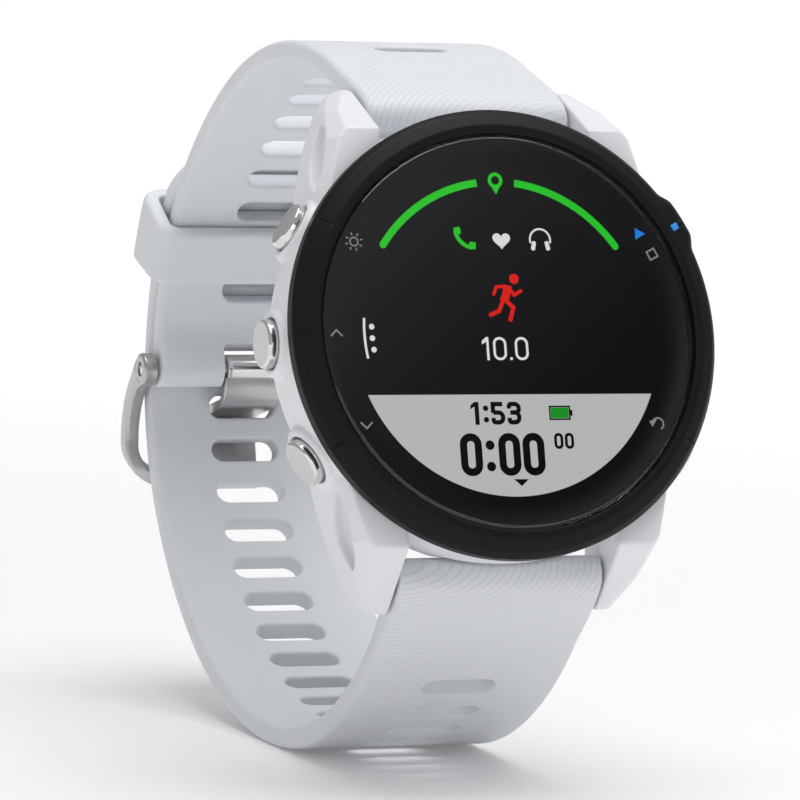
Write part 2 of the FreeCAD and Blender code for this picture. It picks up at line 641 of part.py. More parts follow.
def arc_points(start, end, bulge, count):
    """Points on the arc from start to end that stands bulge away from its chord."""
    chord = math.hypot(end[0] - start[0], end[1] - start[1])
    radius = (chord * chord / 4 + bulge * bulge) / (2 * bulge)
    half_turn = math.asin(chord / 2 / radius)
    ux, uy = (end[0] - start[0]) / chord, (end[1] - start[1]) / chord
    middle = ((start[0] + end[0]) / 2, (start[1] + end[1]) / 2)
    points = []
    for number in range(count):
        a = half_turn * (2 * number / (count - 1) - 1)
        along = radius * math.sin(a)
        out = radius * math.cos(a) - radius + bulge
        points.append((middle[0] + along * ux - out * uy, middle[1] + along * uy + out * ux))
    return points


def make_buckle():
    depth, reach = buckle_pin_place
    strap_arc = mirrored_arc(hole_chain[2])
    bar_place = strap_arc.point(FAR_BAR_ANGLE, STRAP_THICK / 2 + SWAY_ROOM + 0.2 + FRAME_THICK / 2)
    inner_x = STRAP_WIDTH / 2 + BUCKLE_PLAY
    outer_x = inner_x + FRAME_ARM
    route = arc_points(buckle_pin_place, bar_place, FRAME_BULGE, 9)
    arms = []
    for x0, x1 in ((-outer_x, -inner_x), (inner_x, outer_x)):
        arms.append(bent_bar(route, FRAME_THICK, x0, x1))
        arms.append(rod(BOSS_END_R, x0, x1, reach, -depth))
    far_bar = rod(FRAME_THICK / 2, -outer_x, outer_x, bar_place[1], -bar_place[0])
    frame = fuse(arms + [far_bar])
    nodes["buckle_frame"] = frame.cut(rod(BUCKLE_PIN_R, -20, 20, reach, -depth))
    nodes["buckle_pin"] = rod(BUCKLE_PIN_R, -outer_x + 0.15, outer_x - 0.15, reach, -depth)

    half = TONGUE_WIDTH / 2
    hub = rod(TONGUE_HUB_R, -half + 0.25, half - 0.25, reach, -depth)
    slot_arc, slot_angle = place_on(hole_chain, tongue_slot_distance())
    slot = slot_arc.point(slot_angle)
    cross = (slot[0], -slot[1])
    over = bar_place[0] + FRAME_THICK / 2 + TONGUE_THICK / 2 + 0.12
    route = [(depth - 0.5, reach - 1.2), (depth - 0.1, reach - 2.5), (depth + 0.8, cross[1] + 0.25),
             (depth + 1.7, cross[1]), (cross[0] + 2.3, cross[1] - 0.05), (over - 0.9, cross[1] - 0.4),
             (over - 0.2, cross[1] - 1.3), (over, cross[1] - 2.6), (over, bar_place[1] - 0.9)]
    tongue = fuse([hub, bent_bar(route, TONGUE_THICK, -half, half)])
    nodes["buckle_tongue"] = tongue.cut(rod(BUCKLE_PIN_R + 0.05, -20, 20, reach, -depth))


def tongue_slot_distance():
    """The slot of the hole half that the tongue is in, along that half."""
    return HOLE_FIRST_SLOT + (TONGUE_SLOT - 1) * SLOT_PITCH


def export_all():
    whole = Part.makeCompound(list(nodes.values()))
    pose = Placement(Vector(0, 0, 0), Rotation(Vector(1, 0, 0), 90 - FACE_TILT))
    whole.Placement = pose
    box = whole.optimalBoundingBox(True, False)
    shift = Vector(-(box.XMin + box.XMax) / 2, -(box.YMin + box.YMax) / 2, -box.ZMin)
    pose.Base = shift
    os.makedirs("parts", exist_ok=True)
    for name, shape in nodes.items():
        standing = shape.copy()
        standing.Placement = pose.multiply(standing.Placement)
        standing.exportStep("parts/" + name + ".step")
    print("shift", [round(v, 4) for v in shift])
    print("size", round(box.XLength, 3), round(box.YLength, 3), round(box.ZLength, 3))


nodes["case_middle"] = make_case()
nodes["bezel_ring"] = make_bezel()
make_front()
make_inside()
make_back()
make_buttons()
make_spring_bar("upper", 1)
make_spring_bar("lower", -1)
nodes["buckle_strap"] = make_buckle_strap()
nodes["hole_strap"] = make_hole_strap()
nodes["keeper_loop"] = make_keeper()
make_buckle()
export_all()
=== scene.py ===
import json
import math

import bmesh
import bpy
import numpy as np
from mathutils import Matrix, Vector


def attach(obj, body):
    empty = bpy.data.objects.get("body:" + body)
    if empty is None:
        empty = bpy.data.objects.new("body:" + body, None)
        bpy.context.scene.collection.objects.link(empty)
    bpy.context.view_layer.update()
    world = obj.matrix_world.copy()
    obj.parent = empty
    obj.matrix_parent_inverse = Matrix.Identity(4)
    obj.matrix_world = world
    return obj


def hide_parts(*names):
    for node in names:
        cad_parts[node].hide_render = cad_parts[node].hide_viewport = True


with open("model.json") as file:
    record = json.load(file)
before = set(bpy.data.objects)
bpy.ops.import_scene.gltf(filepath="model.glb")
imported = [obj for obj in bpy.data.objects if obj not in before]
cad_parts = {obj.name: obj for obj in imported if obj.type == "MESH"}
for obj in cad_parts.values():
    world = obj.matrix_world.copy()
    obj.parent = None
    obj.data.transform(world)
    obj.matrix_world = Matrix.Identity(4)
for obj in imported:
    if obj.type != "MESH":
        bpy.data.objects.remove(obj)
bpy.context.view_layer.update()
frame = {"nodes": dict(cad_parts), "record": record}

# ---- The watch's own frame: X to 3 o'clock, Y to 12 o'clock, Z out of the face, millimetres ----
MM = 0.001
SENSOR_BACK = -12.9
mounts = {m["name"]: m for m in frame["record"]["mounts"]}
face_out = -Vector(mounts["sensor_face"]["axis"])
three_oclock = Vector((1.0, 0.0, 0.0))
twelve_oclock = face_out.cross(three_oclock)
watch_origin = Vector(mounts["sensor_face"]["pos_m"]) - face_out * (SENSOR_BACK * MM)
WATCH = Matrix.Identity(4)
for column, axis in enumerate((three_oclock, twelve_oclock, face_out)):
    for row in range(3):
        WATCH[row][column] = axis[row] * MM
for row in range(3):
    WATCH[row][3] = watch_origin[row]

# ---- Dimensions shared with the CAD ----
BEZEL_R = 22.8
LENS_R = 20.0
LENS_TOP = -0.05
LENS_BOTTOM = -1.25
LIT_R = 16.5
BUTTON_DEPTH = -7.0
BUTTON_ANGLES = {"light": 149.5, "up": 180.0, "down": 210.5, "start": 30.5, "back": -30.5}
BUTTON_FACE = 24.0
BUTTON_R = 2.45
STRAP_WIDTH = 22.0
STRAP_THICK = 2.3
BAR_REACH = 23.6
BAR_DEPTH = 8.8
BAR_R = 0.9
ROOT_R = 2.2
SLOT_LENGTH = 7.8
SLOT_HEIGHT = 2.6
SLOT_PITCH = 5.13
BUCKLE_SLOTS = 12
BUCKLE_FIRST_SLOT = 15.86
HOLE_SLOTS = 20
HOLE_FIRST_SLOT = 14.95
BUCKLE_HALF_HEADING = 47.23
BUCKLE_HALF_ARCS = [(39.41, 61.97), (51.58, 13.93), (32.7, 46.33)]
HOLE_HALF_HEADING = 45.3
HOLE_HALF_ARCS = [(41.5, 32.5), (34.1, 20.5), (44.2, 60.0)]
TAIL_BLEND_R = 28.0
TAIL_GAP = 0.35
TAIL_END_ANGLE = 59.0
KEEPER_ANGLE = 40.0
KEEPER_SPAN = 12.4
KEEPER_WALL = 1.7
KEEPER_PLAY = 0.3
SWAY_ROOM = 0.55
BUCKLE_PIN_R = 0.8
PIN_TUBE_R = 2.0
PIN_INSET = 0.8
BUCKLE_PLAY = 0.35
FRAME_ARM = 1.6
FRAME_THICK = 2.2
FRAME_BULGE = 3.0
FRAME_CORNER = 4.0
BOSS_END_R = 1.8
FAR_BAR_ANGLE = -11.8
TONGUE_WIDTH = 6.6
TONGUE_THICK = 1.1
TONGUE_HUB_R = 1.6
TONGUE_SLOT = 17

# ---- Small geometry kit ----
def rounded(points, radius, steps=5, closed=True):
    """A 2-D outline with each corner replaced by an arc; radius may be one number or one a corner."""
    count = len(points)
    radii = [radius] * count if isinstance(radius, (int, float)) else radius
    result = []
    for i, p in enumerate(points):
        p = np.array(p, float)
        if not closed and i in (0, count - 1):
            result.append(p)
            continue
        a = np.array(points[i - 1], float) - p
        b = np.array(points[(i + 1) % count], float) - p
        la, lb = np.linalg.norm(a), np.linalg.norm(b)
        a, b = a / la, b / lb
        half = math.acos(max(-1.0, min(1.0, float(a @ b)))) / 2
        if radii[i] <= 0 or half > math.radians(89):
            result.append(p)
            continue
        cut = min(radii[i] / math.tan(half), 0.48 * min(la, lb))
        r = cut * math.tan(half)
        centre = p + (a + b) / np.linalg.norm(a + b) * (r / math.sin(half))
        start, end = p + a * cut - centre, p + b * cut - centre
        turn = math.atan2(start[0] * end[1] - start[1] * end[0], float(start @ end))
        for k in range(steps + 1):
            t = turn * k / steps
            c, s = math.cos(t), math.sin(t)
            result.append(centre + np.array((start[0] * c - start[1] * s, start[0] * s + start[1] * c)))
    return result


class Mesh:
    """Vertices and faces in the watch's frame, gathered before they become one object."""

    def __init__(self):
        self.verts = []
        self.faces = []
        self.marks = []
        self.uvs = {}

    def add(self, point, uv=None):
        self.verts.append(tuple(point))
        if uv is not None:
            self.uvs[len(self.verts) - 1] = uv
        return len(self.verts) - 1

    def face(self, corners, mark=0):
        self.faces.append(tuple(corners))
        self.marks.append(mark)

    def grid(self, rows, mark=0, close_rows=False, close_columns=False):
        """Quads over a table of vertex numbers."""
        height = len(rows) if close_rows else len(rows) - 1
        width = len(rows[0]) if close_columns else len(rows[0]) - 1
        for j in range(height):
            for i in range(width):
                a, b = rows[j], rows[(j + 1) % len(rows)]
                k = (i + 1) % len(rows[0])
                self.face((a[i], a[k], b[k], b[i]), mark)

    def object(self, name, body, materials, matrix=WATCH, merge=1e-4, smooth=40.0, weighted=False):
        mesh = bpy.data.meshes.new(name)
        mesh.from_pydata(self.verts, [], self.faces)
        for polygon, mark in zip(mesh.polygons, self.marks):
            polygon.material_index = mark
        if self.uvs:
            layer = mesh.uv_layers.new(name="millimetres")
            for loop in mesh.loops:
                layer.data[loop.index].uv = self.uvs.get(loop.vertex_index, (0.0, 0.0))
        work = bmesh.new()
        work.from_mesh(mesh)
        bmesh.ops.remove_doubles(work, verts=work.verts, dist=merge)
        bmesh.ops.recalc_face_normals(work, faces=work.faces)
        work.to_mesh(mesh)
        work.free()
        mesh.transform(matrix)
        for item in materials:
            mesh.materials.append(item)
        obj = bpy.data.objects.new(name, mesh)
        bpy.context.scene.collection.objects.link(obj)
        soften(obj, smooth)
        if weighted:
            obj.modifiers.new("weighted", "WEIGHTED_NORMAL").keep_sharp = True
        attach(obj, body)
        return obj


def soften(obj, angle):
    """Smooth shading with sharp edges above an angle."""
    mesh = obj.data
    mesh.polygons.foreach_set("use_smooth", [True] * len(mesh.polygons))
    mesh.set_sharp_from_angle(angle=math.radians(angle))


def lathe(profile, steps=256, closed=False, marks=None, bend=None, angles=None):
    """A (radius, height) profile turned about +Z; an open profile's ends that touch the axis are closed."""
    mesh = Mesh()
    turns = angles if angles is not None else [2 * math.pi * i / steps for i in range(steps)]
    rows = []
    for r, z in profile:
        if r < 1e-6:
            rows.append([mesh.add((0.0, 0.0, z))] * len(turns))
            continue
        row = []
        for t in turns:
            point = (r * math.cos(t), r * math.sin(t), z)
            row.append(mesh.add(bend(r, t, z) if bend else point))
        rows.append(row)
    count = len(rows) if closed else len(rows) - 1
    for j in range(count):
        a, b = rows[j], rows[(j + 1) % len(rows)]
        mark = marks[j] if marks else 0
        for i in range(len(turns)):
            k = (i + 1) % len(turns)
            corners = [a[i], a[k], b[k], b[i]]
            unique = [c for n, c in enumerate(corners) if c not in corners[:n]]
            if len(unique) > 2:
                mesh.face(unique, mark)
    return mesh


def apply_modifiers(obj):
    graph = bpy.context.evaluated_depsgraph_get()
    mesh = bpy.data.meshes.new_from_object(obj.evaluated_get(graph))
    obj.modifiers.clear()
    obj.data = mesh


def rounded_box(low, high, radius, matrix=WATCH, name="cutter"):
    """A filleted block for cutting, in the watch's frame."""
    work = bmesh.new()
    bmesh.ops.create_cube(work, size=1.0)
    for v in work.verts:
        v.co = Vector([(low[i] + high[i]) / 2 + v.co[i] * (high[i] - low[i]) for i in range(3)])
    bmesh.ops.bevel(work, geom=list(work.edges), offset=radius, segments=5, profile=0.5, affect="EDGES")
    mesh = bpy.data.meshes.new(name)
    work.to_mesh(mesh)
    work.free()
    mesh.transform(matrix)
    obj = bpy.data.objects.new(name, mesh)
    bpy.context.scene.collection.objects.link(obj)
    return obj


def bar(profile, reach, depth, steps, hollow=False):
    """An (x, radius) profile turned about a line along X; a hollow one is closed on itself, not capped."""
    mesh = Mesh()
    turns = [2 * math.pi * i / steps for i in range(steps)]
    rows = [[mesh.add((x, reach + r * math.cos(t), -depth + r * math.sin(t))) for t in turns]
            for x, r in profile]
    mesh.grid(rows, close_rows=hollow, close_columns=True)
    if not hollow:
        mesh.face(rows[0])
        mesh.face(rows[-1][::-1])
    return mesh


def rod_cutter(radius, x0, x1, reach, depth):
    """A cylinder along X for cutting, in the watch's frame."""
    return bar([(x0, radius), (x1, radius)], reach, depth, 64).object("cutter", "watch_case", [])


def carve(obj, cutters):
    for cutter in cutters:
        step = obj.modifiers.new("carve", "BOOLEAN")
        step.operation = "DIFFERENCE"
        step.solver = "EXACT"
        step.object = cutter
    apply_modifiers(obj)
    for cutter in cutters:
        bpy.data.objects.remove(cutter)


# ---- Materials ----
def shader(name, colour, roughness, metallic=0.0, **sockets):
    """A material whose Principled sockets hold the constants; returns it with its tree and shader."""
    item = bpy.data.materials.new(name)
    item.use_nodes = True
    tree = item.node_tree
    bsdf = tree.nodes["Principled BSDF"]
    bsdf.inputs["Base Color"].default_value = (*colour, 1.0)
    bsdf.inputs["Roughness"].default_value = roughness
    bsdf.inputs["Metallic"].default_value = metallic
    for key, value in sockets.items():
        bsdf.inputs[key.replace("_", " ")].default_value = value
    return item, tree, bsdf


def node(tree, kind, **settings):
    made = tree.nodes.new(kind)
    for key, value in settings.items():
        setattr(made, key, value)
    return made


def arith(tree, operation, first, second=None, third=None):
    made = node(tree, "ShaderNodeMath", operation=operation)
    for socket, value in zip(made.inputs, (first, second, third)):
        if value is None:
            continue
        if isinstance(value, (int, float)):
            socket.default_value = value
        else:
            tree.links.new(value, socket)
    return made.outputs[0]


def noise(tree, scale, detail=3.0, stretch=(1, 1, 1), coordinates="Object"):
    """Noise with a feature size set by scale, in features a metre, stretched along the axes."""
    place = node(tree, "ShaderNodeTexCoord")
    mapping = node(tree, "ShaderNodeMapping")
    mapping.inputs["Scale"].default_value = stretch
    tree.links.new(place.outputs[coordinates], mapping.inputs["Vector"])
    made = node(tree, "ShaderNodeTexNoise")
    made.inputs["Scale"].default_value = scale
    made.inputs["Detail"].default_value = detail
    tree.links.new(mapping.outputs["Vector"], made.inputs["Vector"])
    return made.outputs["Fac"]


def vary(tree, bsdf, source, colour_low, colour_high, rough_low, rough_high):
    """Base colour and roughness that wander with a noise."""
    mix = node(tree, "ShaderNodeMix", data_type="RGBA")
    mix.inputs[6].default_value = (*colour_low, 1.0)
    mix.inputs[7].default_value = (*colour_high, 1.0)
    tree.links.new(source, mix.inputs[0])
    tree.links.new(mix.outputs[2], bsdf.inputs["Base Color"])
    span = node(tree, "ShaderNodeMapRange")
    span.inputs["To Min"].default_value = rough_low
    span.inputs["To Max"].default_value = rough_high
    tree.links.new(source, span.inputs["Value"])
    tree.links.new(span.outputs["Result"], bsdf.inputs["Roughness"])


def bump(tree, bsdf, height, strength, distance, before=None):
    made = node(tree, "ShaderNodeBump")
    made.inputs["Strength"].default_value = strength
    made.inputs["Distance"].default_value = distance
    tree.links.new(height, made.inputs["Height"])
    if before is not None:
        tree.links.new(before, made.inputs["Normal"])
    tree.links.new(made.outputs["Normal"], bsdf.inputs["Normal"])
    return made.outputs["Normal"]


def shade(colour, factor):
    return tuple(min(1.0, c * factor) for c in colour)


def moulded(name, colour, roughness, grain=4000.0, depth=0.00002, wander=0.04, **sockets):
    """A moulded surface: faint tone changes, roughness changes and a fine grain."""
    item, tree, bsdf = shader(name, colour, roughness, **sockets)
    cloud = noise(tree, 220.0, 4.0)
    vary(tree, bsdf, cloud, shade(colour, 1 - wander), shade(colour, 1 + wander),
         roughness * 0.85, min(1.0, roughness * 1.15))
    bump(tree, bsdf, noise(tree, grain, 2.0), 0.25, depth)
    return item


def brushed(name, colour, roughness, stretch, scale=1500.0, depth=0.000012, wander=0.05):
    """Metal with fine parallel scratches; stretch squeezes the noise across the scratches."""
    item, tree, bsdf = shader(name, colour, roughness, metallic=1.0)
    lines = noise(tree, scale, 4.0, stretch)
    vary(tree, bsdf, lines, shade(colour, 1 - wander), shade(colour, 1 + wander),
         roughness * 0.75, roughness * 1.3)
    bump(tree, bsdf, lines, 0.35, depth)
    return item


WHITE = (0.80, 0.81, 0.835)
SILICONE = (0.735, 0.75, 0.78)
LINE_PITCH = 0.62
LINE_WIDTH = 0.075
FACET_RISE = 0.9


def ribbed(name, centre):
    """Silicone with fine engraved arcs about a centre, crossed by fainter ones about its mirror centre; the
    arcs' colour is darkened as painted shade in the grooves.
    """
    item, tree, bsdf = shader(name, SILICONE, 0.52)
    place = node(tree, "ShaderNodeUVMap", uv_map="millimetres")
    split = node(tree, "ShaderNodeSeparateXYZ")
    tree.links.new(place.outputs["UV"], split.inputs["Vector"])
    du = arith(tree, "SUBTRACT", split.outputs["X"], centre[0])
    dv = arith(tree, "SUBTRACT", split.outputs["Y"], centre[1])
    square = arith(tree, "ADD", arith(tree, "MULTIPLY", du, du), arith(tree, "MULTIPLY", dv, dv))
    distance = arith(tree, "SQRT", square)
    phase = arith(tree, "PINGPONG", distance, LINE_PITCH / 2)
    line = arith(tree, "SMOOTH_MIN", arith(tree, "DIVIDE", phase, LINE_WIDTH), 1.0, 0.35)
    mirror_u = arith(tree, "ADD", split.outputs["X"], centre[0])
    mirror_square = arith(tree, "ADD", arith(tree, "MULTIPLY", mirror_u, mirror_u),
                          arith(tree, "MULTIPLY", dv, dv))
    mirror_phase = arith(tree, "PINGPONG", arith(tree, "SQRT", mirror_square), LINE_PITCH / 2)
    facet = arith(tree, "MULTIPLY", mirror_phase, FACET_RISE / LINE_PITCH)
    height = arith(tree, "ADD", line, facet)
    cloud = noise(tree, 300.0, 4.0)
    # Painted shade: the base colour darkens along the engraved arcs, as if their grooves lay in shade.
    groove_shade_mix = node(tree, "ShaderNodeMix", data_type="RGBA")
    groove_shade_mix.inputs[6].default_value = (*shade(SILICONE, 0.84), 1.0)
    groove_shade_mix.inputs[7].default_value = (*SILICONE, 1.0)
    tree.links.new(line, groove_shade_mix.inputs[0])
    tree.links.new(groove_shade_mix.outputs[2], bsdf.inputs["Base Color"])
    span = node(tree, "ShaderNodeMapRange")
    span.inputs["To Min"].default_value = 0.45
    span.inputs["To Max"].default_value = 0.6
    tree.links.new(cloud, span.inputs["Value"])
    tree.links.new(span.outputs["Result"], bsdf.inputs["Roughness"])
    bump(tree, bsdf, height, 0.6, 0.00004)
    return item


M = {
    "case_white": moulded("case_white", WHITE, 0.38, grain=6000.0, depth=0.000006, wander=0.015),
    "bezel_black": moulded("bezel_black", (0.009, 0.009, 0.01), 0.42, grain=5000.0, wander=0.1,
                           Specular_IOR_Level=0.12),
    "silicone_plain": moulded("silicone_plain", SILICONE, 0.5, grain=3500.0, depth=0.00001, wander=0.015),
    "silicone_upper": ribbed("silicone_upper", (12.0, -14.0)),
    "silicone_lower": ribbed("silicone_lower", (-12.0, -14.0)),
    "steel_brushed": brushed("steel_brushed", (0.5, 0.5, 0.495), 0.3, (0.04, 1, 1)),
    "steel_face": brushed("steel_face", (0.58, 0.58, 0.575), 0.34, (1, 1, 0.04)),
    "steel_polished": brushed("steel_polished", (0.72, 0.72, 0.72), 0.12, (0.1, 1, 1), depth=0.000003),
    "rubber_black": moulded("rubber_black", (0.03, 0.03, 0.03), 0.7),
    "chassis_black": moulded("chassis_black", (0.045, 0.045, 0.05), 0.55),
    "board_green": moulded("board_green", (0.02, 0.13, 0.06), 0.35, wander=0.15),
    "tin_plate": brushed("tin_plate", (0.7, 0.7, 0.68), 0.28, (0.1, 1, 1)),
    "battery_foil": brushed("battery_foil", (0.6, 0.61, 0.63), 0.35, (1, 0.2, 1)),
    "gold_plate": brushed("gold_plate", (0.83, 0.62, 0.27), 0.2, (1, 0.2, 1)),
    "sensor_black": moulded("sensor_black", (0.012, 0.012, 0.014), 0.08, wander=0.1, depth=0.000002),
    "led_lens": moulded("led_lens", (0.4, 0.75, 0.35), 0.15, wander=0.1),
    "spring_steel": brushed("spring_steel", (0.55, 0.55, 0.56), 0.3, (0.3, 1, 1)),
    "display_black": moulded("display_black", (0.008, 0.008, 0.009), 0.3, wander=0.1),
}


def glass():
    item, tree, bsdf = shader("lens_glass", (0.97, 0.98, 0.98), 0.0, IOR=1.0, Transmission_Weight=1.0,
                              Coat_Weight=1.0, Coat_Roughness=0.02, Coat_IOR=1.5)
    cloud = noise(tree, 60.0, 2.0)
    span = node(tree, "ShaderNodeMapRange")
    span.inputs["To Min"].default_value = 0.0
    span.inputs["To Max"].default_value = 0.008
    tree.links.new(cloud, span.inputs["Value"])
    tree.links.new(span.outputs["Result"], bsdf.inputs["Roughness"])
    return item


def glowing(name, colour, strength):
    """A printed or lit part of the display, drawn as painted glow: it emits its colour at a fixed strength
    instead of reflecting the lamps; a fine cell pattern modulates it.
    """
    item, tree, bsdf = shader(name, (0.0, 0.0, 0.0), 0.9, Emission_Strength=strength, Specular_IOR_Level=0.0)
    cells = noise(tree, 9000.0, 1.0)
    mix = node(tree, "ShaderNodeMix", data_type="RGBA")
    mix.inputs[6].default_value = (*shade(colour, 0.94), 1.0)
    mix.inputs[7].default_value = (*shade(colour, 1.06), 1.0)
    tree.links.new(cells, mix.inputs[0])
    tree.links.new(mix.outputs[2], bsdf.inputs["Emission Color"])
    return item


M["lens_glass"] = glass()
# Painted glow: the display's pictures, the lens border and its printed signs all emit their colours rather
# than being lit by the lamps.
M["screen_dark"] = glowing("screen_dark", (0.004, 0.004, 0.005), 1.0)
M["screen_light"] = glowing("screen_light", (0.50, 0.50, 0.50), 1.0)
M["ink_white"] = glowing("ink_white", (0.75, 0.75, 0.75), 1.0)
M["ink_grey"] = glowing("ink_grey", (0.24, 0.24, 0.245), 1.0)
M["ink_green"] = glowing("ink_green", (0.02, 0.55, 0.02), 1.0)
M["ink_dark_green"] = glowing("ink_dark_green", (0.01, 0.28, 0.02), 1.0)
M["ink_red"] = glowing("ink_red", (0.72, 0.012, 0.008), 1.0)
M["ink_blue"] = glowing("ink_blue", (0.01, 0.22, 0.72), 1.0)
M["ink_black"] = glowing("ink_black", (0.002, 0.002, 0.002), 1.0)
M["border_ink"] = glowing("border_ink", (0.004, 0.004, 0.005), 1.0)
M["paint_blue"] = moulded("paint_blue", (0.03, 0.28, 0.75), 0.4)

# ---- Every CAD node gets its slot's material ----
slot_of = {}
for part in frame["record"]["subparts"]:
    slot_of[part.get("node", part.get("name"))] = part.get("material", part.get("material_slot"))
SLOT_MATERIAL = {"silicone_white": "silicone_plain"}
for name, obj in frame["nodes"].items():
    key = slot_of.get(name) or "chassis_black"
    key = SLOT_MATERIAL.get(key, key)
    obj.data.materials.clear()
    obj.data.materials.append(M[key])
    soften(obj, 30.0)

# ---- Bezel ----
def make_bezel():
    outline = [(20.15, -0.02), (21.0, -0.02), (22.25, -0.62), (BEZEL_R, -1.3), (BEZEL_R, -2.6), (22.6, -2.9),
               (19.9, -2.9), (19.9, -3.7), (19.2, -3.7), (19.2, -2.1), (18.6, -2.1), (18.6, -1.4),
               (20.15, -1.4)]
    radii = [0.12, 0.5, 0.9, 0.35, 0.2, 0.1, 0.1, 0.1, 0.1, 0.1, 0.1, 0.05, 0.05]
    corners = rounded(outline, radii, 5)
    profile = []
    for a, b in zip(corners, corners[1:] + corners[:1]):
        profile.append(tuple(a))
        pieces = int(np.linalg.norm(b - a) / 0.25)
        for k in range(1, pieces):
            profile.append(tuple(a + (b - a) * k / pieces))
    turns = {round(2 * math.pi * i / 360, 6) for i in range(360)}
    for angle in BUTTON_ANGLES.values():
        middle = math.radians(angle)
        for k in range(-8, 9):
            turns.add(round((middle + k * 0.0016) % (2 * math.pi), 6))
    turns = sorted(turns)

    def shape(r, t, z):
        for name, angle in BUTTON_ANGLES.items():
            off = (t - math.radians(angle) + math.pi) % (2 * math.pi) - math.pi
            across = abs(off) * 22.0
            if 21.15 < r < 22.45 and z > -1.2 and across < 0.16:
                z -= 0.16 * (1 - (across / 0.16) ** 2)
            if name == "start" and r > 21.2 and across < 3.4:
                swell = 0.5 + 0.5 * math.cos(math.pi * min(1.0, max(0.0, (across - 1.6) / 1.8)))
                r += 0.62 * swell * min(1.0, (r - 21.2) / 1.2)
        return (r * math.cos(t), r * math.sin(t), z)

    mesh = lathe(profile, closed=True, bend=shape, angles=turns)
    bezel = mesh.object("bezel", "watch_case", [M["bezel_black"]], smooth=50.0)
    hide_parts("bezel_ring")


make_bezel()


# ---- Cover lens and the printed border under it ----
def make_lens():
    edge = [(0.0, LENS_TOP), (6.0, LENS_TOP), (12.0, LENS_TOP), (17.0, LENS_TOP)]
    edge += [tuple(p) for p in rounded([(17.0, LENS_TOP), (19.62, LENS_TOP), (LENS_R, LENS_TOP - 0.3),
                                        (LENS_R, LENS_BOTTOM), (17.0, LENS_BOTTOM)],
                                       [0, 0.3, 0.25, 0.08, 0], 6, closed=False)][1:]
    edge += [(12.0, LENS_BOTTOM), (6.0, LENS_BOTTOM), (0.0, LENS_BOTTOM)]
    lens = lathe(edge, 288).object("lens", "watch_case", [M["lens_glass"]], smooth=30.0)
    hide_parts("cover_lens")
    ring = [(LIT_R, LENS_BOTTOM - 0.004), (18.0, LENS_BOTTOM - 0.004), (19.95, LENS_BOTTOM - 0.004),
            (19.95, LENS_BOTTOM - 0.014), (18.0, LENS_BOTTOM - 0.014), (LIT_R, LENS_BOTTOM - 0.014)]
    lathe(ring, 288, closed=True).object("lens_border", "watch_case", [M["border_ink"]], merge=1e-6)


# ---- Pictures on the display ----
PICTURE_Z = LENS_BOTTOM - 0.024
PAPER_Z = LENS_BOTTOM - 0.034
PRINT_Z = LENS_BOTTOM - 0.002


def printed(name, outlines, z, material):
    """Flat printed shapes at one height."""
    mesh = Mesh()
    for outline in outlines:
        mesh.face([mesh.add((x, y, z)) for x, y in outline])
    return mesh.object(name, "watch_case", [M[material]], merge=1e-7)


def ribbon(points, width, closed=False):
    """Quads of even width along a path."""
    points = [np.array(p, float) for p in points]
    count = len(points)
    left, right = [], []
    for i, p in enumerate(points):
        before = points[i - 1] if closed or i > 0 else None
        after = points[(i + 1) % count] if closed or i < count - 1 else None
        a = (p - before) / np.linalg.norm(p - before) if before is not None else None
        b = (after - p) / np.linalg.norm(after - p) if after is not None else None
        a = b if a is None else a
        b = a if b is None else b
        normal = np.array((-(a + b)[1], (a + b)[0]))
        normal = normal / np.linalg.norm(normal)
        reach = width / 2 / max(0.5, float(normal @ np.array((-a[1], a[0]))))
        left.append(p + normal * reach)
        right.append(p - normal * reach)
    quads = []
    for i in range(count if closed else count - 1):
        k = (i + 1) % count
        quads.append([tuple(right[i]), tuple(right[k]), tuple(left[k]), tuple(left[i])])
    return quads


def disc_outline(x, y, r, steps=28):
    return [(x + r * math.cos(2 * math.pi * k / steps), y + r * math.sin(2 * math.pi * k / steps))
            for k in range(steps)]


def arc_path(x, y, r, start, end, steps=24):
    return [(x + r * math.cos(math.radians(start + (end - start) * k / steps)),
             y + r * math.sin(math.radians(start + (end - start) * k / steps))) for k in range(steps + 1)]


def limb(points, width):
    """A ribbon with round ends and round joints."""
    return ribbon(points, width) + [disc_outline(x, y, width / 2, 16) for x, y in points]


def glyph(char, x, y, w, h, weight):
    """A digit, point or colon as flat shapes; x, y is its lower left corner."""
    m = weight / 2
    left, right, low, high, mid = x + m, x + w - m, y + m, y + h - m, y + h * 0.53
    if char == "0":
        path = rounded([(left, low), (right, low), (right, high), (left, high)], (right - left) * 0.5, 8)
        return ribbon(path, weight, closed=True)
    if char == "1":
        stem = x + w * 0.62
        return ribbon([(stem, y), (stem, y + h)], weight) + [
            [(stem - m, y + h), (x + w * 0.02, y + h * 0.84), (x + w * 0.02, y + h * 0.68),
             (stem - m, y + h * 0.8)]]
    if char == ".":
        return [disc_outline(x + w / 2, y + weight * 0.62, weight * 0.62)]
    if char == ":":
        r = weight * 0.62
        return [disc_outline(x + w / 2, y + h * 0.22, r), disc_outline(x + w / 2, y + h * 0.72, r)]
    radius = (right - left) / 2
    hook = [(right, mid), (right, low), (left, low), (left, low + h * 0.2)]
    bowl = rounded([(left + radius * 0.2, mid)] + hook, radius, 8, closed=False)
    if char == "5":
        flag = ribbon([(right, high), (left, high), (left, mid - m * 0.2)], weight)
        bowl = rounded([(left, mid)] + hook, radius, 8, closed=False)
        return flag + ribbon(bowl, weight)
    upper = rounded([(left, high - h * 0.2), (left, high), (right, high), (right, mid),
                     (left + radius * 0.7, mid)], radius, 8, closed=False)
    return ribbon(upper, weight) + ribbon(bowl, weight)


def number(text, x, y, widths, h, weight, gap):
    shapes = []
    for char in text:
        w = widths[char] if char in widths else widths["0"]
        shapes += glyph(char, x, y, w, h, weight)
        x += w + gap
    return shapes


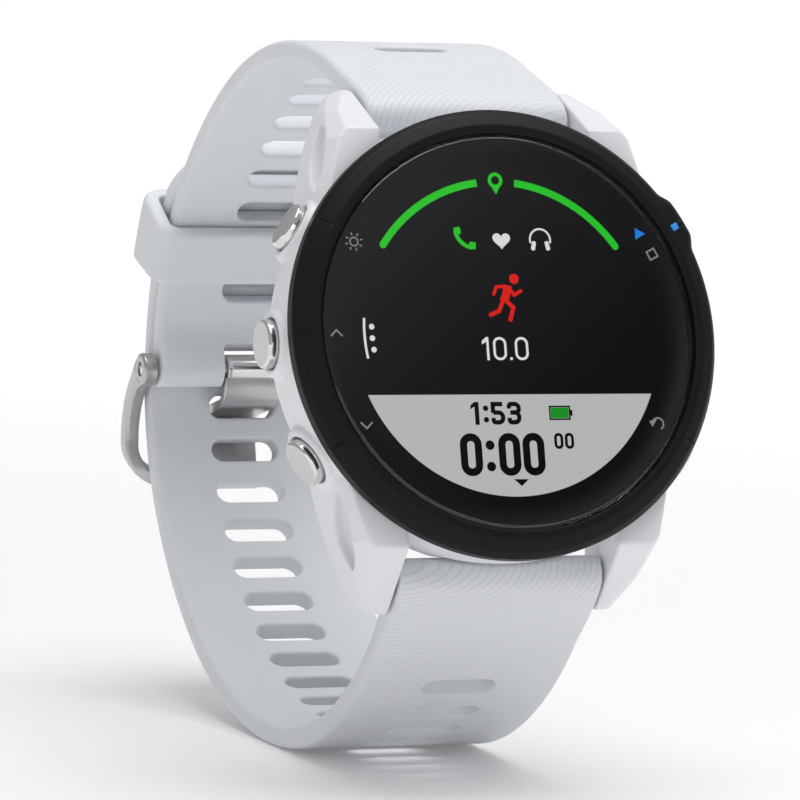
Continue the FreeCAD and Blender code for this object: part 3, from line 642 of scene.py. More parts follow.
def on_border(shapes, radius, angle, spin):
    """Take shapes drawn about the origin to a place on the lens border."""
    a, s = math.radians(angle), math.radians(spin)
    cx, cy = radius * math.cos(a), radius * math.sin(a)
    return [[(cx + x * math.cos(s) - y * math.sin(s), cy + x * math.sin(s) + y * math.cos(s))
             for x, y in shape] for shape in shapes]


def make_pictures():
    chord = -6.2
    cut = math.degrees(math.asin(-chord / LIT_R))
    dark = [(LIT_R * math.cos(math.radians(a)), LIT_R * math.sin(math.radians(a)))
            for a in np.linspace(-cut, 180 + cut, 220)]
    light = [(LIT_R * math.cos(math.radians(a)), LIT_R * math.sin(math.radians(a)))
             for a in np.linspace(180 + cut, 360 - cut, 120)]
    printed("screen_upper", [dark], PAPER_Z, "screen_dark")
    printed("screen_lower", [light], PAPER_Z, "screen_light")

    green = []
    for start, end, rounded_end in ((97.6, 144.6, 144.6), (82.4, 35.2, 35.2)):
        green += ribbon(arc_path(0, 0, 15.4, start, end, 60), 0.74)
        green.append(disc_outline(15.4 * math.cos(math.radians(rounded_end)),
                                  15.4 * math.sin(math.radians(rounded_end)), 0.37))
    pin = ribbon(arc_path(0, 15.55, 0.62, 0, 360, 28)[:-1], 0.36, closed=True)
    pin.append([(-0.62, 15.2), (0.0, 14.1), (0.62, 15.2), (0.3, 15.1), (0.0, 14.95), (-0.3, 15.1)])
    handset = ribbon(arc_path(-2.75, 10.65, 2.0, 190, 262, 20), 0.42)
    for angle in (189, 263):
        cx = -2.75 + 1.78 * math.cos(math.radians(angle))
        cy = 10.65 + 1.78 * math.sin(math.radians(angle))
        pad = rounded([(-0.36, -0.36), (0.36, -0.36), (0.36, 0.36), (-0.36, 0.36)], 0.12, 3)
        s = math.radians(angle)
        handset.append([(cx + x * math.cos(s) - y * math.sin(s), cy + x * math.sin(s) + y * math.cos(s))
                        for x, y in pad])
    printed("picture_green", green + pin + handset, PICTURE_Z, "ink_green")

    heart = []
    for k in range(60):
        t = 2 * math.pi * k / 60
        heart.append((0.2 + 0.06 * 16 * math.sin(t) ** 3,
                      9.45 + 0.058 * (13 * math.cos(t) - 5 * math.cos(2 * t) - 2 * math.cos(3 * t)
                                      - math.cos(4 * t))))
    phones = ribbon(arc_path(4.4, 9.5, 1.1, -18, 198, 30), 0.2)
    for sx in (-1, 1):
        cup = rounded([(0.1, -0.55), (0.55, -0.55), (0.55, 0.4), (0.1, 0.4)], 0.16, 4)
        lean = math.radians(12 * sx)
        phones.append([(4.4 + sx * 0.42 + (sx * x) * math.cos(lean) - y * math.sin(lean),
                        8.9 + (sx * x) * math.sin(lean) + y * math.cos(lean)) for x, y in cup])
    menu = ribbon(arc_path(0, 0, 15.2, 174.2, 189.6, 24), 0.26)
    for angle in (177.4, 182.0, 186.6):
        menu.append(disc_outline(14.4 * math.cos(math.radians(angle)),
                                 14.4 * math.sin(math.radians(angle)), 0.29))
    distance = number("10.0", -2.75, -2.75, {"0": 1.45, "1": 1.0, ".": 0.5}, 2.35, 0.26, 0.2)
    printed("picture_white", [heart] + phones + menu + distance, PICTURE_Z, "ink_white")

    head = [disc_outline(1.25, 5.5, 0.52)]
    torso = [[(0.1, 4.95), (0.95, 4.75), (0.75, 3.9), (0.42, 3.15), (-0.45, 3.35), (-0.1, 4.1)]]
    limbs = limb([(0.1, 4.75), (-0.75, 4.68), (-1.05, 3.95)], 0.34)
    limbs += limb([(0.75, 4.45), (1.15, 3.85), (1.9, 4.3)], 0.34)
    limbs += limb([(0.2, 3.3), (0.95, 2.6), (0.55, 1.35)], 0.44)
    limbs += limb([(-0.15, 3.2), (-0.6, 2.25), (-1.55, 1.85)], 0.42)
    printed("picture_red", head + torso + limbs, PICTURE_Z, "ink_red")

    black = number("1:53", -4.5, -9.25, {"0": 1.5, "1": 1.1, ":": 0.62}, 2.3, 0.46, 0.24)
    black += number("0:00", -5.9, -14.4, {"0": 2.35, ":": 1.25}, 4.3, 0.78, 0.26)
    black += number("00", 4.3, -11.75, {"0": 0.98}, 1.62, 0.3, 0.18)
    black += ribbon([(4.05, -8.75), (6.2, -8.75), (6.2, -7.45), (4.05, -7.45)], 0.16, closed=True)
    black.append([(6.25, -8.4), (6.5, -8.4), (6.5, -7.8), (6.25, -7.8)])
    black.append([(-0.35, -14.75), (0.45, -15.45), (1.25, -14.75)])
    printed("picture_black", black, PICTURE_Z, "ink_black")
    charge = [(4.15, -8.65), (6.1, -8.65), (6.1, -7.55), (4.15, -7.55)]
    printed("picture_battery", [charge], PICTURE_Z - 0.002, "ink_dark_green")

    lamp = ribbon(arc_path(0, 0, 0.42, 0, 360, 24)[:-1], 0.14, closed=True)
    for k in range(8):
        c, s = math.cos(math.pi * k / 4), math.sin(math.pi * k / 4)
        lamp += ribbon([(0.66 * c, 0.66 * s), (0.95 * c, 0.95 * s)], 0.14)
    chevron = ribbon([(-0.62, -0.3), (0.0, 0.32), (0.62, -0.3)], 0.17)
    stop = ribbon([(-0.45, -0.45), (0.45, -0.45), (0.45, 0.45), (-0.45, 0.45)], 0.17, closed=True)
    back = ribbon(arc_path(0, 0, 0.6, -60, 150, 20), 0.17) + [[(-0.95, 0.3), (-0.1, 0.45), (-0.62, -0.3)]]
    grey = on_border(lamp, 18.15, 149.5, 60) + on_border(chevron, 18.15, 180.0, 0)
    grey += on_border(chevron, 18.15, 210.5, 180) + on_border(stop, 18.45, 26.0, 27)
    grey += on_border(back, 18.3, -30.5, 0)
    printed("border_signs", grey, PRINT_Z, "ink_grey")
    play = [[(-0.5, -0.6), (0.62, 0.0), (-0.5, 0.6)]]
    printed("border_start_sign", on_border(play, 18.45, 33.5, 0), PRINT_Z, "ink_blue")


def make_start_mark():
    """A thin painted pad on the bezel's slope beside the start button."""
    mesh = Mesh()
    turn = math.radians(29.6)
    rows = []
    for inset, lift in ((0.0, -0.06), (0.0, 0.03), (0.05, 0.05)):
        outline = rounded([(21.3 + inset, inset - 0.34), (22.15 - inset, inset - 0.34),
                           (22.15 - inset, 0.34 - inset), (21.3 + inset, 0.34 - inset)], 0.1, 3)
        row = []
        for r, across in outline:
            row.append(mesh.add((r * math.cos(turn) - across * math.sin(turn),
                                 r * math.sin(turn) + across * math.cos(turn),
                                 lift - 0.13 - (r - 21.25) * 0.32)))
        rows.append(row)
    mesh.grid(rows, close_columns=True)
    mesh.face(rows[0][::-1])
    mesh.face(rows[-1])
    mark = mesh.object("bezel_start_mark", "watch_case", [M["paint_blue"]], smooth=30.0)


make_lens()
make_pictures()
make_start_mark()


# ---- The strap's side view: (depth behind the bezel, reach from the watch's centre) ----
class Arc:
    def __init__(self, centre, radius, start, end):
        self.centre = centre
        self.radius = radius
        self.start = start
        self.end = end

    def point(self, angle, offset=0.0):
        r = self.radius + offset
        a = math.radians(angle)
        return np.array((self.centre[0] + r * math.cos(a), self.centre[1] + r * math.sin(a)))

    def length(self):
        return self.radius * math.radians(self.start - self.end)


def arc_chain(heading, arcs):
    """Tangent arcs from the spring bar; each one turns towards the wrist."""
    place = (BAR_DEPTH, BAR_REACH)
    angle = heading + 90.0
    chain = []
    for radius, turn in arcs:
        a = math.radians(angle)
        centre = (place[0] - radius * math.cos(a), place[1] - radius * math.sin(a))
        arc = Arc(centre, radius, angle, angle - turn)
        chain.append(arc)
        angle -= turn
        place = arc.point(angle)
    return chain


def direction(start, end):
    return math.degrees(math.atan2(end[1] - start[1], end[0] - start[0]))


def blended(first, last, radius):
    """End first and start last where an arc of this radius touches both from inside."""
    r1, r2 = first.radius - radius, last.radius - radius
    dx, dy = last.centre[0] - first.centre[0], last.centre[1] - first.centre[1]
    apart = math.hypot(dx, dy)
    along = (r1 * r1 - r2 * r2 + apart * apart) / (2 * apart)
    across = math.sqrt(r1 * r1 - along * along)
    ux, uy = dx / apart, dy / apart
    sides = [(first.centre[0] + along * ux - sign * across * uy,
              first.centre[1] + along * uy + sign * across * ux) for sign in (1, -1)]
    centre = max(sides)
    first.end = direction(first.centre, centre)
    last.start = direction(last.centre, centre)
    return Arc(centre, radius, first.end, last.start)


def place_on(chain, distance):
    for arc in chain:
        if distance <= arc.length() or arc is chain[-1]:
            return arc, arc.start - math.degrees(distance / arc.radius)
        distance -= arc.length()


buckle_chain = arc_chain(BUCKLE_HALF_HEADING, BUCKLE_HALF_ARCS)
wrap = buckle_chain[-1]
hole_chain = arc_chain(HOLE_HALF_HEADING, HOLE_HALF_ARCS)
tail = Arc((wrap.centre[0], -wrap.centre[1]), wrap.radius + STRAP_THICK + TAIL_GAP, 0.0, -TAIL_END_ANGLE)
hole_chain.append(blended(hole_chain[-1], tail, TAIL_BLEND_R))
hole_chain.append(tail)
pin_place = wrap.point(wrap.end, -PIN_INSET)


# ---- Strap halves ----
EDGE_R = 0.75               # rounding along the strap's edges
LIP_R = 0.38                # rounding at the slots' rims
GRID = 0.55                 # mesh spacing
ROOT_LENGTH = 9.0
PLAIN, RIBBED = 0, 1


class Strap:
    """One strap half as a single quad mesh, laid out flat and mapped onto its curve."""

    def __init__(self, chain, side):
        self.chain = chain
        self.side = side
        self.mesh = Mesh()
        inner = STRAP_WIDTH / 2 - EDGE_R
        count = 2 * int(inner / GRID)
        self.across = [-inner + 2 * inner * i / count for i in range(count + 1)]
        self.scale_at = lambda v: 1.0

    def section(self, v):
        """(middle, outward direction, thickness) at a distance along the half."""
        arc, angle = place_on(self.chain, v)
        a = math.radians(angle)
        return arc.point(angle), np.array((math.cos(a), math.sin(a))), STRAP_THICK

    def point(self, u, section, w, v):
        middle, out, _ = section
        place = middle + out * w
        return self.mesh.add((u * self.scale_at(v), self.side * place[1], -place[0]), (u, v))

    def loop(self, v, section, shrink=0.0):
        """The closed section at v as four runs: outer face, one side, inner face, other side."""
        half = section[2] / 2
        r = min(EDGE_R, half * 0.95)
        half_s = half - shrink
        r_s = min(r, half_s * 0.95)
        edge = STRAP_WIDTH / 2 - shrink
        inner = edge - r_s
        ratio = inner / self.across[-1]
        steps = [math.pi / 16 * k for k in range(9)]

        def corner(sx, sw, angles):
            """The rounding at one corner; sx and sw say which corner of the section it is."""
            return [self.point(sx * (inner + r_s * math.sin(t)), section,
                               sw * (half_s - r_s + r_s * math.cos(t)), v) for t in angles]

        outer_run = [self.point(u * ratio, section, half_s, v) for u in self.across]
        inner_run = [self.point(u * ratio, section, -half_s, v) for u in reversed(self.across)]
        right = corner(1, 1, steps[1:]) + corner(1, -1, steps[:0:-1])
        left = corner(-1, -1, steps[1:]) + corner(-1, 1, steps[:0:-1])
        return outer_run + right + inner_run + left

    def skin(self, loops):
        """Join whole section loops; the outer run and its roundings are ribbed."""
        width = len(loops[0])
        top = len(self.across) + 3
        for a, b in zip(loops, loops[1:]):
            for i in range(width):
                k = (i + 1) % width
                mark = RIBBED if i < top or i >= width - 4 else PLAIN
                self.mesh.face((a[i], a[k], b[k], b[i]), mark)

    def cap(self, loop):
        """Close an end by joining the outer run to the inner run."""
        n = len(self.across)
        outer_run = loop[:n]
        inner_run = loop[n + 16:n + 16 + n][::-1]
        for i in range(n - 1):
            self.mesh.face((outer_run[i], outer_run[i + 1], inner_run[i + 1], inner_run[i]))
        right = [outer_run[-1]] + loop[n:n + 16] + [inner_run[-1]]
        left = [inner_run[0]] + loop[n + 16 + n:] + [outer_run[0]]
        self.mesh.face(right)
        self.mesh.face(left)

    def stretch(self, v0, v1):
        """A plain stretch between two distances."""
        pieces = max(1, round((v1 - v0) / GRID))
        self.skin([self.loop(v, self.section(v)) for v in np.linspace(v0, v1, pieces + 1)])

    def cell(self, middle_v):
        """One pitch of the strap with a slot through it."""
        half_pitch = SLOT_PITCH / 2
        inner = self.across[-1]
        flat = SLOT_LENGTH / 2 - SLOT_HEIGHT / 2
        rim_r = SLOT_HEIGHT / 2
        side_steps = 10
        frame_points, slot_points = [], []
        far = inner - flat

        def on_slot(u, t):
            """Where a point of the cell's border goes on the slot's centre line and its direction."""
            if abs(u) <= flat:
                return np.array((u, 0.0)), np.array((0.0, math.copysign(1.0, t)))
            if abs(t) >= half_pitch - 1e-9:
                share = (abs(u) - flat) / (far + half_pitch)
            else:
                share = (far + half_pitch - abs(t)) / (far + half_pitch)
            a = math.pi / 2 * (1 - share)
            return (np.array((math.copysign(flat, u), 0.0)),
                    np.array((math.copysign(math.cos(a), u), math.copysign(math.sin(a), t))))

        top = [(u, half_pitch) for u in self.across]
        right = [(inner, half_pitch * (1 - 2 * k / side_steps)) for k in range(1, side_steps)]
        low = [(u, -half_pitch) for u in reversed(self.across)]
        left = [(-inner, -half_pitch * (1 - 2 * k / side_steps)) for k in range(1, side_steps)]
        border = top + right + low + left
        for u, t in border:
            base, out = on_slot(u, t if abs(t) > 1e-9 else 1e-9)
            frame_points.append(np.array((u, t)))
            slot_points.append((base, out))
        sections = {}

        def put(u, t, w):
            v = middle_v + t
            key = round(v, 5)
            if key not in sections:
                sections[key] = self.section(v)
            return self.point(u, sections[key], w, v)

        half = STRAP_THICK / 2
        rims = [base + out * (rim_r + LIP_R) for base, out in slot_points]
        faces = [[edge + (rim - edge) * (k / 6) for edge, rim in zip(frame_points, rims)] for k in range(7)]
        bends = []
        for k in range(7):
            a = math.pi / 2 * k / 6
            ring = [base + out * (rim_r + LIP_R * (1 - math.sin(a))) for base, out in slot_points]
            bends.append((ring, half - LIP_R * (1 - math.cos(a))))
        rings = [(ring, half) for ring in faces] + bends[1:]
        rings += [(ring, -height) for ring, height in reversed(bends[1:])]
        rings += [(ring, -half) for ring in reversed(faces)]
        numbers = [[put(at[0], at[1], w) for at in ring] for ring, w in rings]
        count = len(border)
        for j in range(len(numbers) - 1):
            mark = RIBBED if j < 8 else PLAIN
            for i in range(count):
                k = (i + 1) % count
                self.mesh.face((numbers[j][i], numbers[j][k], numbers[j + 1][k], numbers[j + 1][i]), mark)
        loops = [self.loop(middle_v - half_pitch * (1 - 2 * k / side_steps),
                           self.section(middle_v - half_pitch * (1 - 2 * k / side_steps)))
                 for k in range(side_steps + 1)]
        width = len(loops[0])
        n = len(self.across)
        for a, b in zip(loops, loops[1:]):
            for i in list(range(n - 1, n + 16)) + list(range(2 * n + 15, width)):
                k = (i + 1) % width
                mark = RIBBED if i < n + 3 or i >= width - 4 else PLAIN
                self.mesh.face((a[i], a[k], b[k], b[i]), mark)


def bezier(start, start_lead, end_lead, end, t):
    """A point on a cubic curve; the leads are the handles at its two ends."""
    return ((1 - t) ** 3 * start + 3 * (1 - t) ** 2 * t * (start + start_lead)
            + 3 * (1 - t) * t * t * (end - end_lead) + t ** 3 * end)


def root_sections(chain):
    """The root as (distance, section) pairs: a tube round the spring bar that thins to the strip."""
    bar = np.array((BAR_DEPTH, BAR_REACH))
    first = math.radians(chain[0].start)
    out = np.array((math.cos(first), math.sin(first)))
    ahead = np.array((math.sin(first), -math.cos(first)))
    arc, angle = place_on(chain, ROOT_LENGTH)
    last = math.radians(angle)
    onward = np.array((math.sin(last), -math.cos(last)))
    sections = []
    for k in range(12):
        t = math.radians(84 * (1 - k / 12))
        back = ROOT_R * math.sin(t)
        sections.append((-back, (bar - ahead * back, out, 2 * ROOT_R * math.cos(t))))
    for k in range(19):
        t = k / 18
        p = bezier(bar + out * ROOT_R, ahead * 2.6, onward * 3.2, arc.point(angle, STRAP_THICK / 2), t)
        q = bezier(bar - out * ROOT_R, ahead * 2.4, onward * 3.2, arc.point(angle, -STRAP_THICK / 2), t)
        size = float(np.linalg.norm(p - q))
        sections.append((ROOT_LENGTH * t, ((p + q) / 2, (p - q) / size, size)))
    return sections


def finish_strap(strap, name, body, node_name, ribbed_material, cutters):
    obj = strap.mesh.object(name, body, [M["silicone_plain"], M[ribbed_material]], merge=2e-4, smooth=60.0)
    carve(obj, cutters)
    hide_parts(node_name)
    return obj


def root_cutters(side):
    """The spring bar's bore, and the window that the release knob stands in."""
    low, high = sorted((side * (BAR_REACH - 1.6), side * (BAR_REACH + 1.6)))
    return [rounded_box((-6.2, low, -14.0), (-2.2, high, -BAR_DEPTH), 0.3),
            rod_cutter(BAR_R + 0.05, -12.0, 12.0, side * BAR_REACH, BAR_DEPTH)]


def make_buckle_strap():
    strap = Strap(buckle_chain, 1)
    root = [strap.loop(v, section) for v, section in root_sections(buckle_chain)]
    strap.skin(root)
    strap.cap(root[0])
    start = BUCKLE_FIRST_SLOT - SLOT_PITCH / 2
    strap.stretch(ROOT_LENGTH, start)
    for number in range(BUCKLE_SLOTS):
        strap.cell(BUCKLE_FIRST_SLOT + number * SLOT_PITCH)
    end = start + BUCKLE_SLOTS * SLOT_PITCH
    strap.stretch(end, end + 0.6)
    length = sum(arc.length() for arc in buckle_chain)
    pin = pin_place
    a = math.radians(wrap.end)
    out = np.array((math.cos(a), math.sin(a)))
    ahead = np.array((math.sin(a), -math.cos(a)))
    loops = [strap.loop(end + 0.6, strap.section(end + 0.6))]
    arc, angle = place_on(buckle_chain, end + 0.6)
    outer_from, inner_from = arc.point(angle, STRAP_THICK / 2), arc.point(angle, -STRAP_THICK / 2)
    b = math.radians(angle)
    lead = np.array((math.sin(b), -math.cos(b)))
    reach_out = float((pin - outer_from) @ ahead)
    steps = 10
    for k in range(1, steps + 1):
        t = k / steps
        outer_to = pin + out * PIN_TUBE_R
        inner_to = pin - out * PIN_TUBE_R
        p = bezier(outer_from, lead * reach_out * 0.4, ahead * reach_out * 0.35, outer_to, t)
        q = bezier(inner_from, lead * reach_out * 0.45, ahead * reach_out * 0.35, inner_to, t)
        size = float(np.linalg.norm(p - q))
        loops.append(strap.loop(end + 0.6 + reach_out * t, ((p + q) / 2, (p - q) / size, size)))
    for k in range(1, 9):
        t = math.radians(80 * k / 8)
        middle = pin + ahead * PIN_TUBE_R * math.sin(t)
        loops.append(strap.loop(length + 2 * k / 8, (middle, out, 2 * PIN_TUBE_R * math.cos(t))))
    strap.skin(loops)
    strap.cap(loops[-1])
    notch = TONGUE_WIDTH / 2 + 0.3
    depth, reach = pin
    cutters = root_cutters(1)
    cutters.append(rounded_box((-notch, reach - 4, -depth - 4), (notch, reach + 2.6, -depth + 4), 0.8))
    finish_strap(strap, "strap_buckle_side", "buckle_half", "buckle_strap", "silicone_upper", cutters)


def make_hole_strap():
    strap = Strap(hole_chain, -1)
    root = [strap.loop(v, section) for v, section in root_sections(hole_chain)]
    strap.skin(root)
    strap.cap(root[0])
    start = HOLE_FIRST_SLOT - SLOT_PITCH / 2
    strap.stretch(ROOT_LENGTH, start)
    for number in range(HOLE_SLOTS):
        strap.cell(HOLE_FIRST_SLOT + number * SLOT_PITCH)
    end = start + HOLE_SLOTS * SLOT_PITCH
    length = sum(arc.length() for arc in hole_chain)
    tip = 7.0

    def narrow(v):
        x = max(0.0, (v - (length - tip)) / tip)
        return math.sqrt(max(0.0, 1.0 - 0.72 * x * x))

    strap.scale_at = narrow
    last = length - EDGE_R
    values = list(np.linspace(end, last, max(2, round((last - end) / GRID)) + 1))
    loops = [strap.loop(v, strap.section(v)) for v in values]
    for k in range(1, 8):
        t = math.radians(84 * k / 7)
        v = last + EDGE_R * math.sin(t)
        loops.append(strap.loop(v, strap.section(v), EDGE_R * (1 - math.cos(t))))
    strap.skin(loops)
    strap.cap(loops[-1])
    finish_strap(strap, "strap_hole_side", "hole_half", "hole_strap", "silicone_lower", root_cutters(-1))


make_buckle_strap()
make_hole_strap()


# ---- Keeper loop ----
def make_keeper():
    mesh = Mesh()
    inner = wrap.radius - STRAP_THICK / 2 - KEEPER_PLAY
    outer = tail.radius + STRAP_THICK / 2 + KEEPER_PLAY + SWAY_ROOM
    half = STRAP_WIDTH / 2 + KEEPER_PLAY
    wall = KEEPER_WALL
    mid_x, mid_low, mid_high = half + wall / 2, inner - wall / 2, outer + wall / 2
    path = rounded([(-mid_x, mid_low), (mid_x, mid_low), (mid_x, mid_high), (-mid_x, mid_high)], 1.7, 10)
    dense = []
    for a, b in zip(path, path[1:] + path[:1]):
        dense.append(a)
        pieces = int(np.linalg.norm(b - a) / 0.8)
        for k in range(1, pieces):
            dense.append(a + (b - a) * k / pieces)
    centre_r = (mid_low + mid_high) / 2
    width = math.radians(KEEPER_SPAN) * centre_r
    section = rounded([(-width / 2, -wall / 2), (width / 2, -wall / 2), (width / 2, wall / 2),
                       (-width / 2, wall / 2)], [0.35, 0.35, 0.7, 0.7], 6)
    full = []
    for a, b in zip(section, section[1:] + section[:1]):
        full.append(a)
        pieces = int(np.linalg.norm(b - a) / 0.7)
        for k in range(1, pieces):
            full.append(a + (b - a) * k / pieces)
    rows = []
    count = len(dense)
    for i, p in enumerate(dense):
        ahead = dense[(i + 1) % count] - dense[i - 1]
        ahead = ahead / np.linalg.norm(ahead)
        out = np.array((ahead[1], -ahead[0]))
        row = []
        for along, height in full:
            x, r = p + out * height
            angle = math.radians(KEEPER_ANGLE) + along / centre_r
            depth = wrap.centre[0] + r * math.cos(angle)
            reach = wrap.centre[1] + r * math.sin(angle)
            row.append(mesh.add((x, reach, -depth)))
        rows.append(row)
    mesh.grid(rows, close_rows=True, close_columns=True)
    keeper = mesh.object("keeper_band", "keeper", [M["silicone_plain"]], smooth=60.0)
    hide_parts("keeper_loop")


make_keeper()


# ---- Buckle frame, pin and tongue ----
def plate(mesh, outline, x0, x1, bevel, mark=0):
    """A plate between two X planes with filleted edges; outline is a smooth closed (depth, reach) loop."""
    outline = [np.array(p, float) for p in outline]
    count = len(outline)
    area = sum(a[0] * b[1] - b[0] * a[1] for a, b in zip(outline, outline[1:] + outline[:1]))
    inward = []
    for i in range(count):
        ahead = outline[(i + 1) % count] - outline[i - 1]
        ahead = ahead / np.linalg.norm(ahead)
        inward.append(np.array((-ahead[1], ahead[0])) * (1 if area > 0 else -1))
    steps = 4
    levels = [(x0 + bevel * (1 - math.sin(math.pi / 2 * (1 - k / steps))),
               bevel * (1 - math.cos(math.pi / 2 * (1 - k / steps)))) for k in range(steps + 1)]
    levels += [(x1 - bevel * (1 - math.sin(math.pi / 2 * k / steps)),
                bevel * (1 - math.cos(math.pi / 2 * k / steps))) for k in range(steps + 1)]
    table = []
    for x, inset in levels:
        ring = [p + n * inset for p, n in zip(outline, inward)]
        table.append([mesh.add((x, p[1], -p[0])) for p in ring])
    mesh.grid(table, mark, close_columns=True)
    mesh.face(table[0][::-1], mark)
    mesh.face(table[-1], mark)


def arc_points(start, end, bulge, count):
    """Points on the arc from start to end that stands bulge away from its chord."""
    start, end = np.array(start), np.array(end)
    chord = float(np.linalg.norm(end - start))
    radius = (chord * chord / 4 + bulge * bulge) / (2 * bulge)
    half_turn = math.asin(chord / 2 / radius)
    u = (end - start) / chord
    points = []
    for number in range(count):
        a = half_turn * (2 * number / (count - 1) - 1)
        along, out = radius * math.sin(a), radius * math.cos(a) - radius + bulge
        points.append((start + end) / 2 + along * u + out * np.array((-u[1], u[0])))
    return points


hole_third = hole_chain[2]
bar_place = np.array(Arc((hole_third.centre[0], -hole_third.centre[1]), hole_third.radius, 0, 0).point(
    FAR_BAR_ANGLE, STRAP_THICK / 2 + SWAY_ROOM + 0.2 + FRAME_THICK / 2))


def make_buckle():
    inner_x = STRAP_WIDTH / 2 + BUCKLE_PLAY
    outer_x = inner_x + FRAME_ARM
    route = arc_points(pin_place, bar_place, FRAME_BULGE, 41)
    mid_x = inner_x + FRAME_ARM / 2
    lengths = [0.0]
    for a, b in zip(route, route[1:]):
        lengths.append(lengths[-1] + float(np.linalg.norm(b - a)))
    total = lengths[-1]
    corner = [(-mid_x, 0.0), (-mid_x, total), (mid_x, total), (mid_x, 0.0)]
    plan = rounded(corner, [0, FRAME_CORNER, FRAME_CORNER, 0], 10, closed=False)
    dense = [plan[0]]
    for a, b in zip(plan, plan[1:]):
        pieces = max(1, int(np.linalg.norm(b - a) / 0.5))
        dense += [a + (b - a) * k / pieces for k in range(1, pieces + 1)]
    depths = [p[0] for p in route]
    reaches = [p[1] for p in route]
    path = [np.array((x, np.interp(t, lengths, reaches), -np.interp(t, lengths, depths))) for x, t in dense]
    tilt = np.array((0.0, route[-1][1] - route[0][1], route[0][0] - route[-1][0]))
    tilt = tilt / np.linalg.norm(tilt)
    face_out_of_frame = np.cross((1.0, 0.0, 0.0), tilt)
    mesh = Mesh()
    rows = []
    for i, p in enumerate(path):
        ahead = path[min(i + 1, len(path) - 1)] - path[max(i - 1, 0)]
        ahead = ahead / np.linalg.norm(ahead)
        side = np.cross(ahead, face_out_of_frame)
        side = side / np.linalg.norm(side)
        lift = np.cross(side, ahead)
        t = dense[i][1]
        boss = (BOSS_END_R - FRAME_THICK / 2) * (0.5 + 0.5 * math.cos(math.pi * min(1.0, t / (0.25 * total))))
        half = FRAME_THICK / 2 + boss
        section = rounded([(-FRAME_ARM / 2, -half), (FRAME_ARM / 2, -half), (FRAME_ARM / 2, half),
                           (-FRAME_ARM / 2, half)], 0.42, 4)
        rows.append([mesh.add(p + side * u + lift * w) for u, w in section])
    mesh.grid(rows, close_columns=True)
    mesh.face(rows[0][::-1])
    mesh.face(rows[-1])
    obj = mesh.object("buckle_loop", "buckle", [M["steel_brushed"]], merge=1e-5, smooth=35.0)
    carve(obj, [rod_cutter(BOSS_END_R - 0.4, -20, 20, pin_place[1], pin_place[0])])
    soften(obj, 35.0)
    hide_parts("buckle_frame")

    eyes = Mesh()
    for x0, x1 in ((-outer_x, -inner_x), (inner_x, outer_x)):
        eye = [pin_place + BOSS_END_R * np.array((math.cos(a), math.sin(a)))
               for a in np.linspace(0, 2 * math.pi, 48, endpoint=False)]
        plate(eyes, eye, x0, x1, 0.32)
    obj = eyes.object("buckle_eyes", "buckle", [M["steel_brushed"]], merge=1e-5, smooth=35.0)
    carve(obj, [rod_cutter(BUCKLE_PIN_R + 0.02, -20, 20, pin_place[1], pin_place[0])])
    soften(obj, 35.0)

    tip = outer_x - 0.12
    shape = [(-tip, 0.45), (-tip + 0.12, 0.68), (-tip + 0.3, BUCKLE_PIN_R)]
    shape += [(x, BUCKLE_PIN_R) for x in np.linspace(-tip + 0.8, tip - 0.8, 20)]
    shape += [(-x, r) for x, r in shape[2::-1]]
    axle = bar(shape, pin_place[1], pin_place[0], 48)
    obj = axle.object("buckle_axle", "buckle", [M["steel_polished"]], smooth=40.0)
    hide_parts("buckle_pin")


def smooth_path(points, steps=10):
    """A Catmull-Rom line through points."""
    points = [np.array(p, float) for p in points]
    result = []
    for i in range(len(points) - 1):
        p0, p1, p2 = points[max(0, i - 1)], points[i], points[i + 1]
        p3 = points[min(len(points) - 1, i + 2)]
        for k in range(steps):
            t = k / steps
            result.append(0.5 * ((2 * p1) + (p2 - p0) * t + (2 * p0 - 5 * p1 + 4 * p2 - p3) * t * t
                                 + (3 * p1 - p0 - 3 * p2 + p3) * t ** 3))
    result.append(points[-1])
    return result


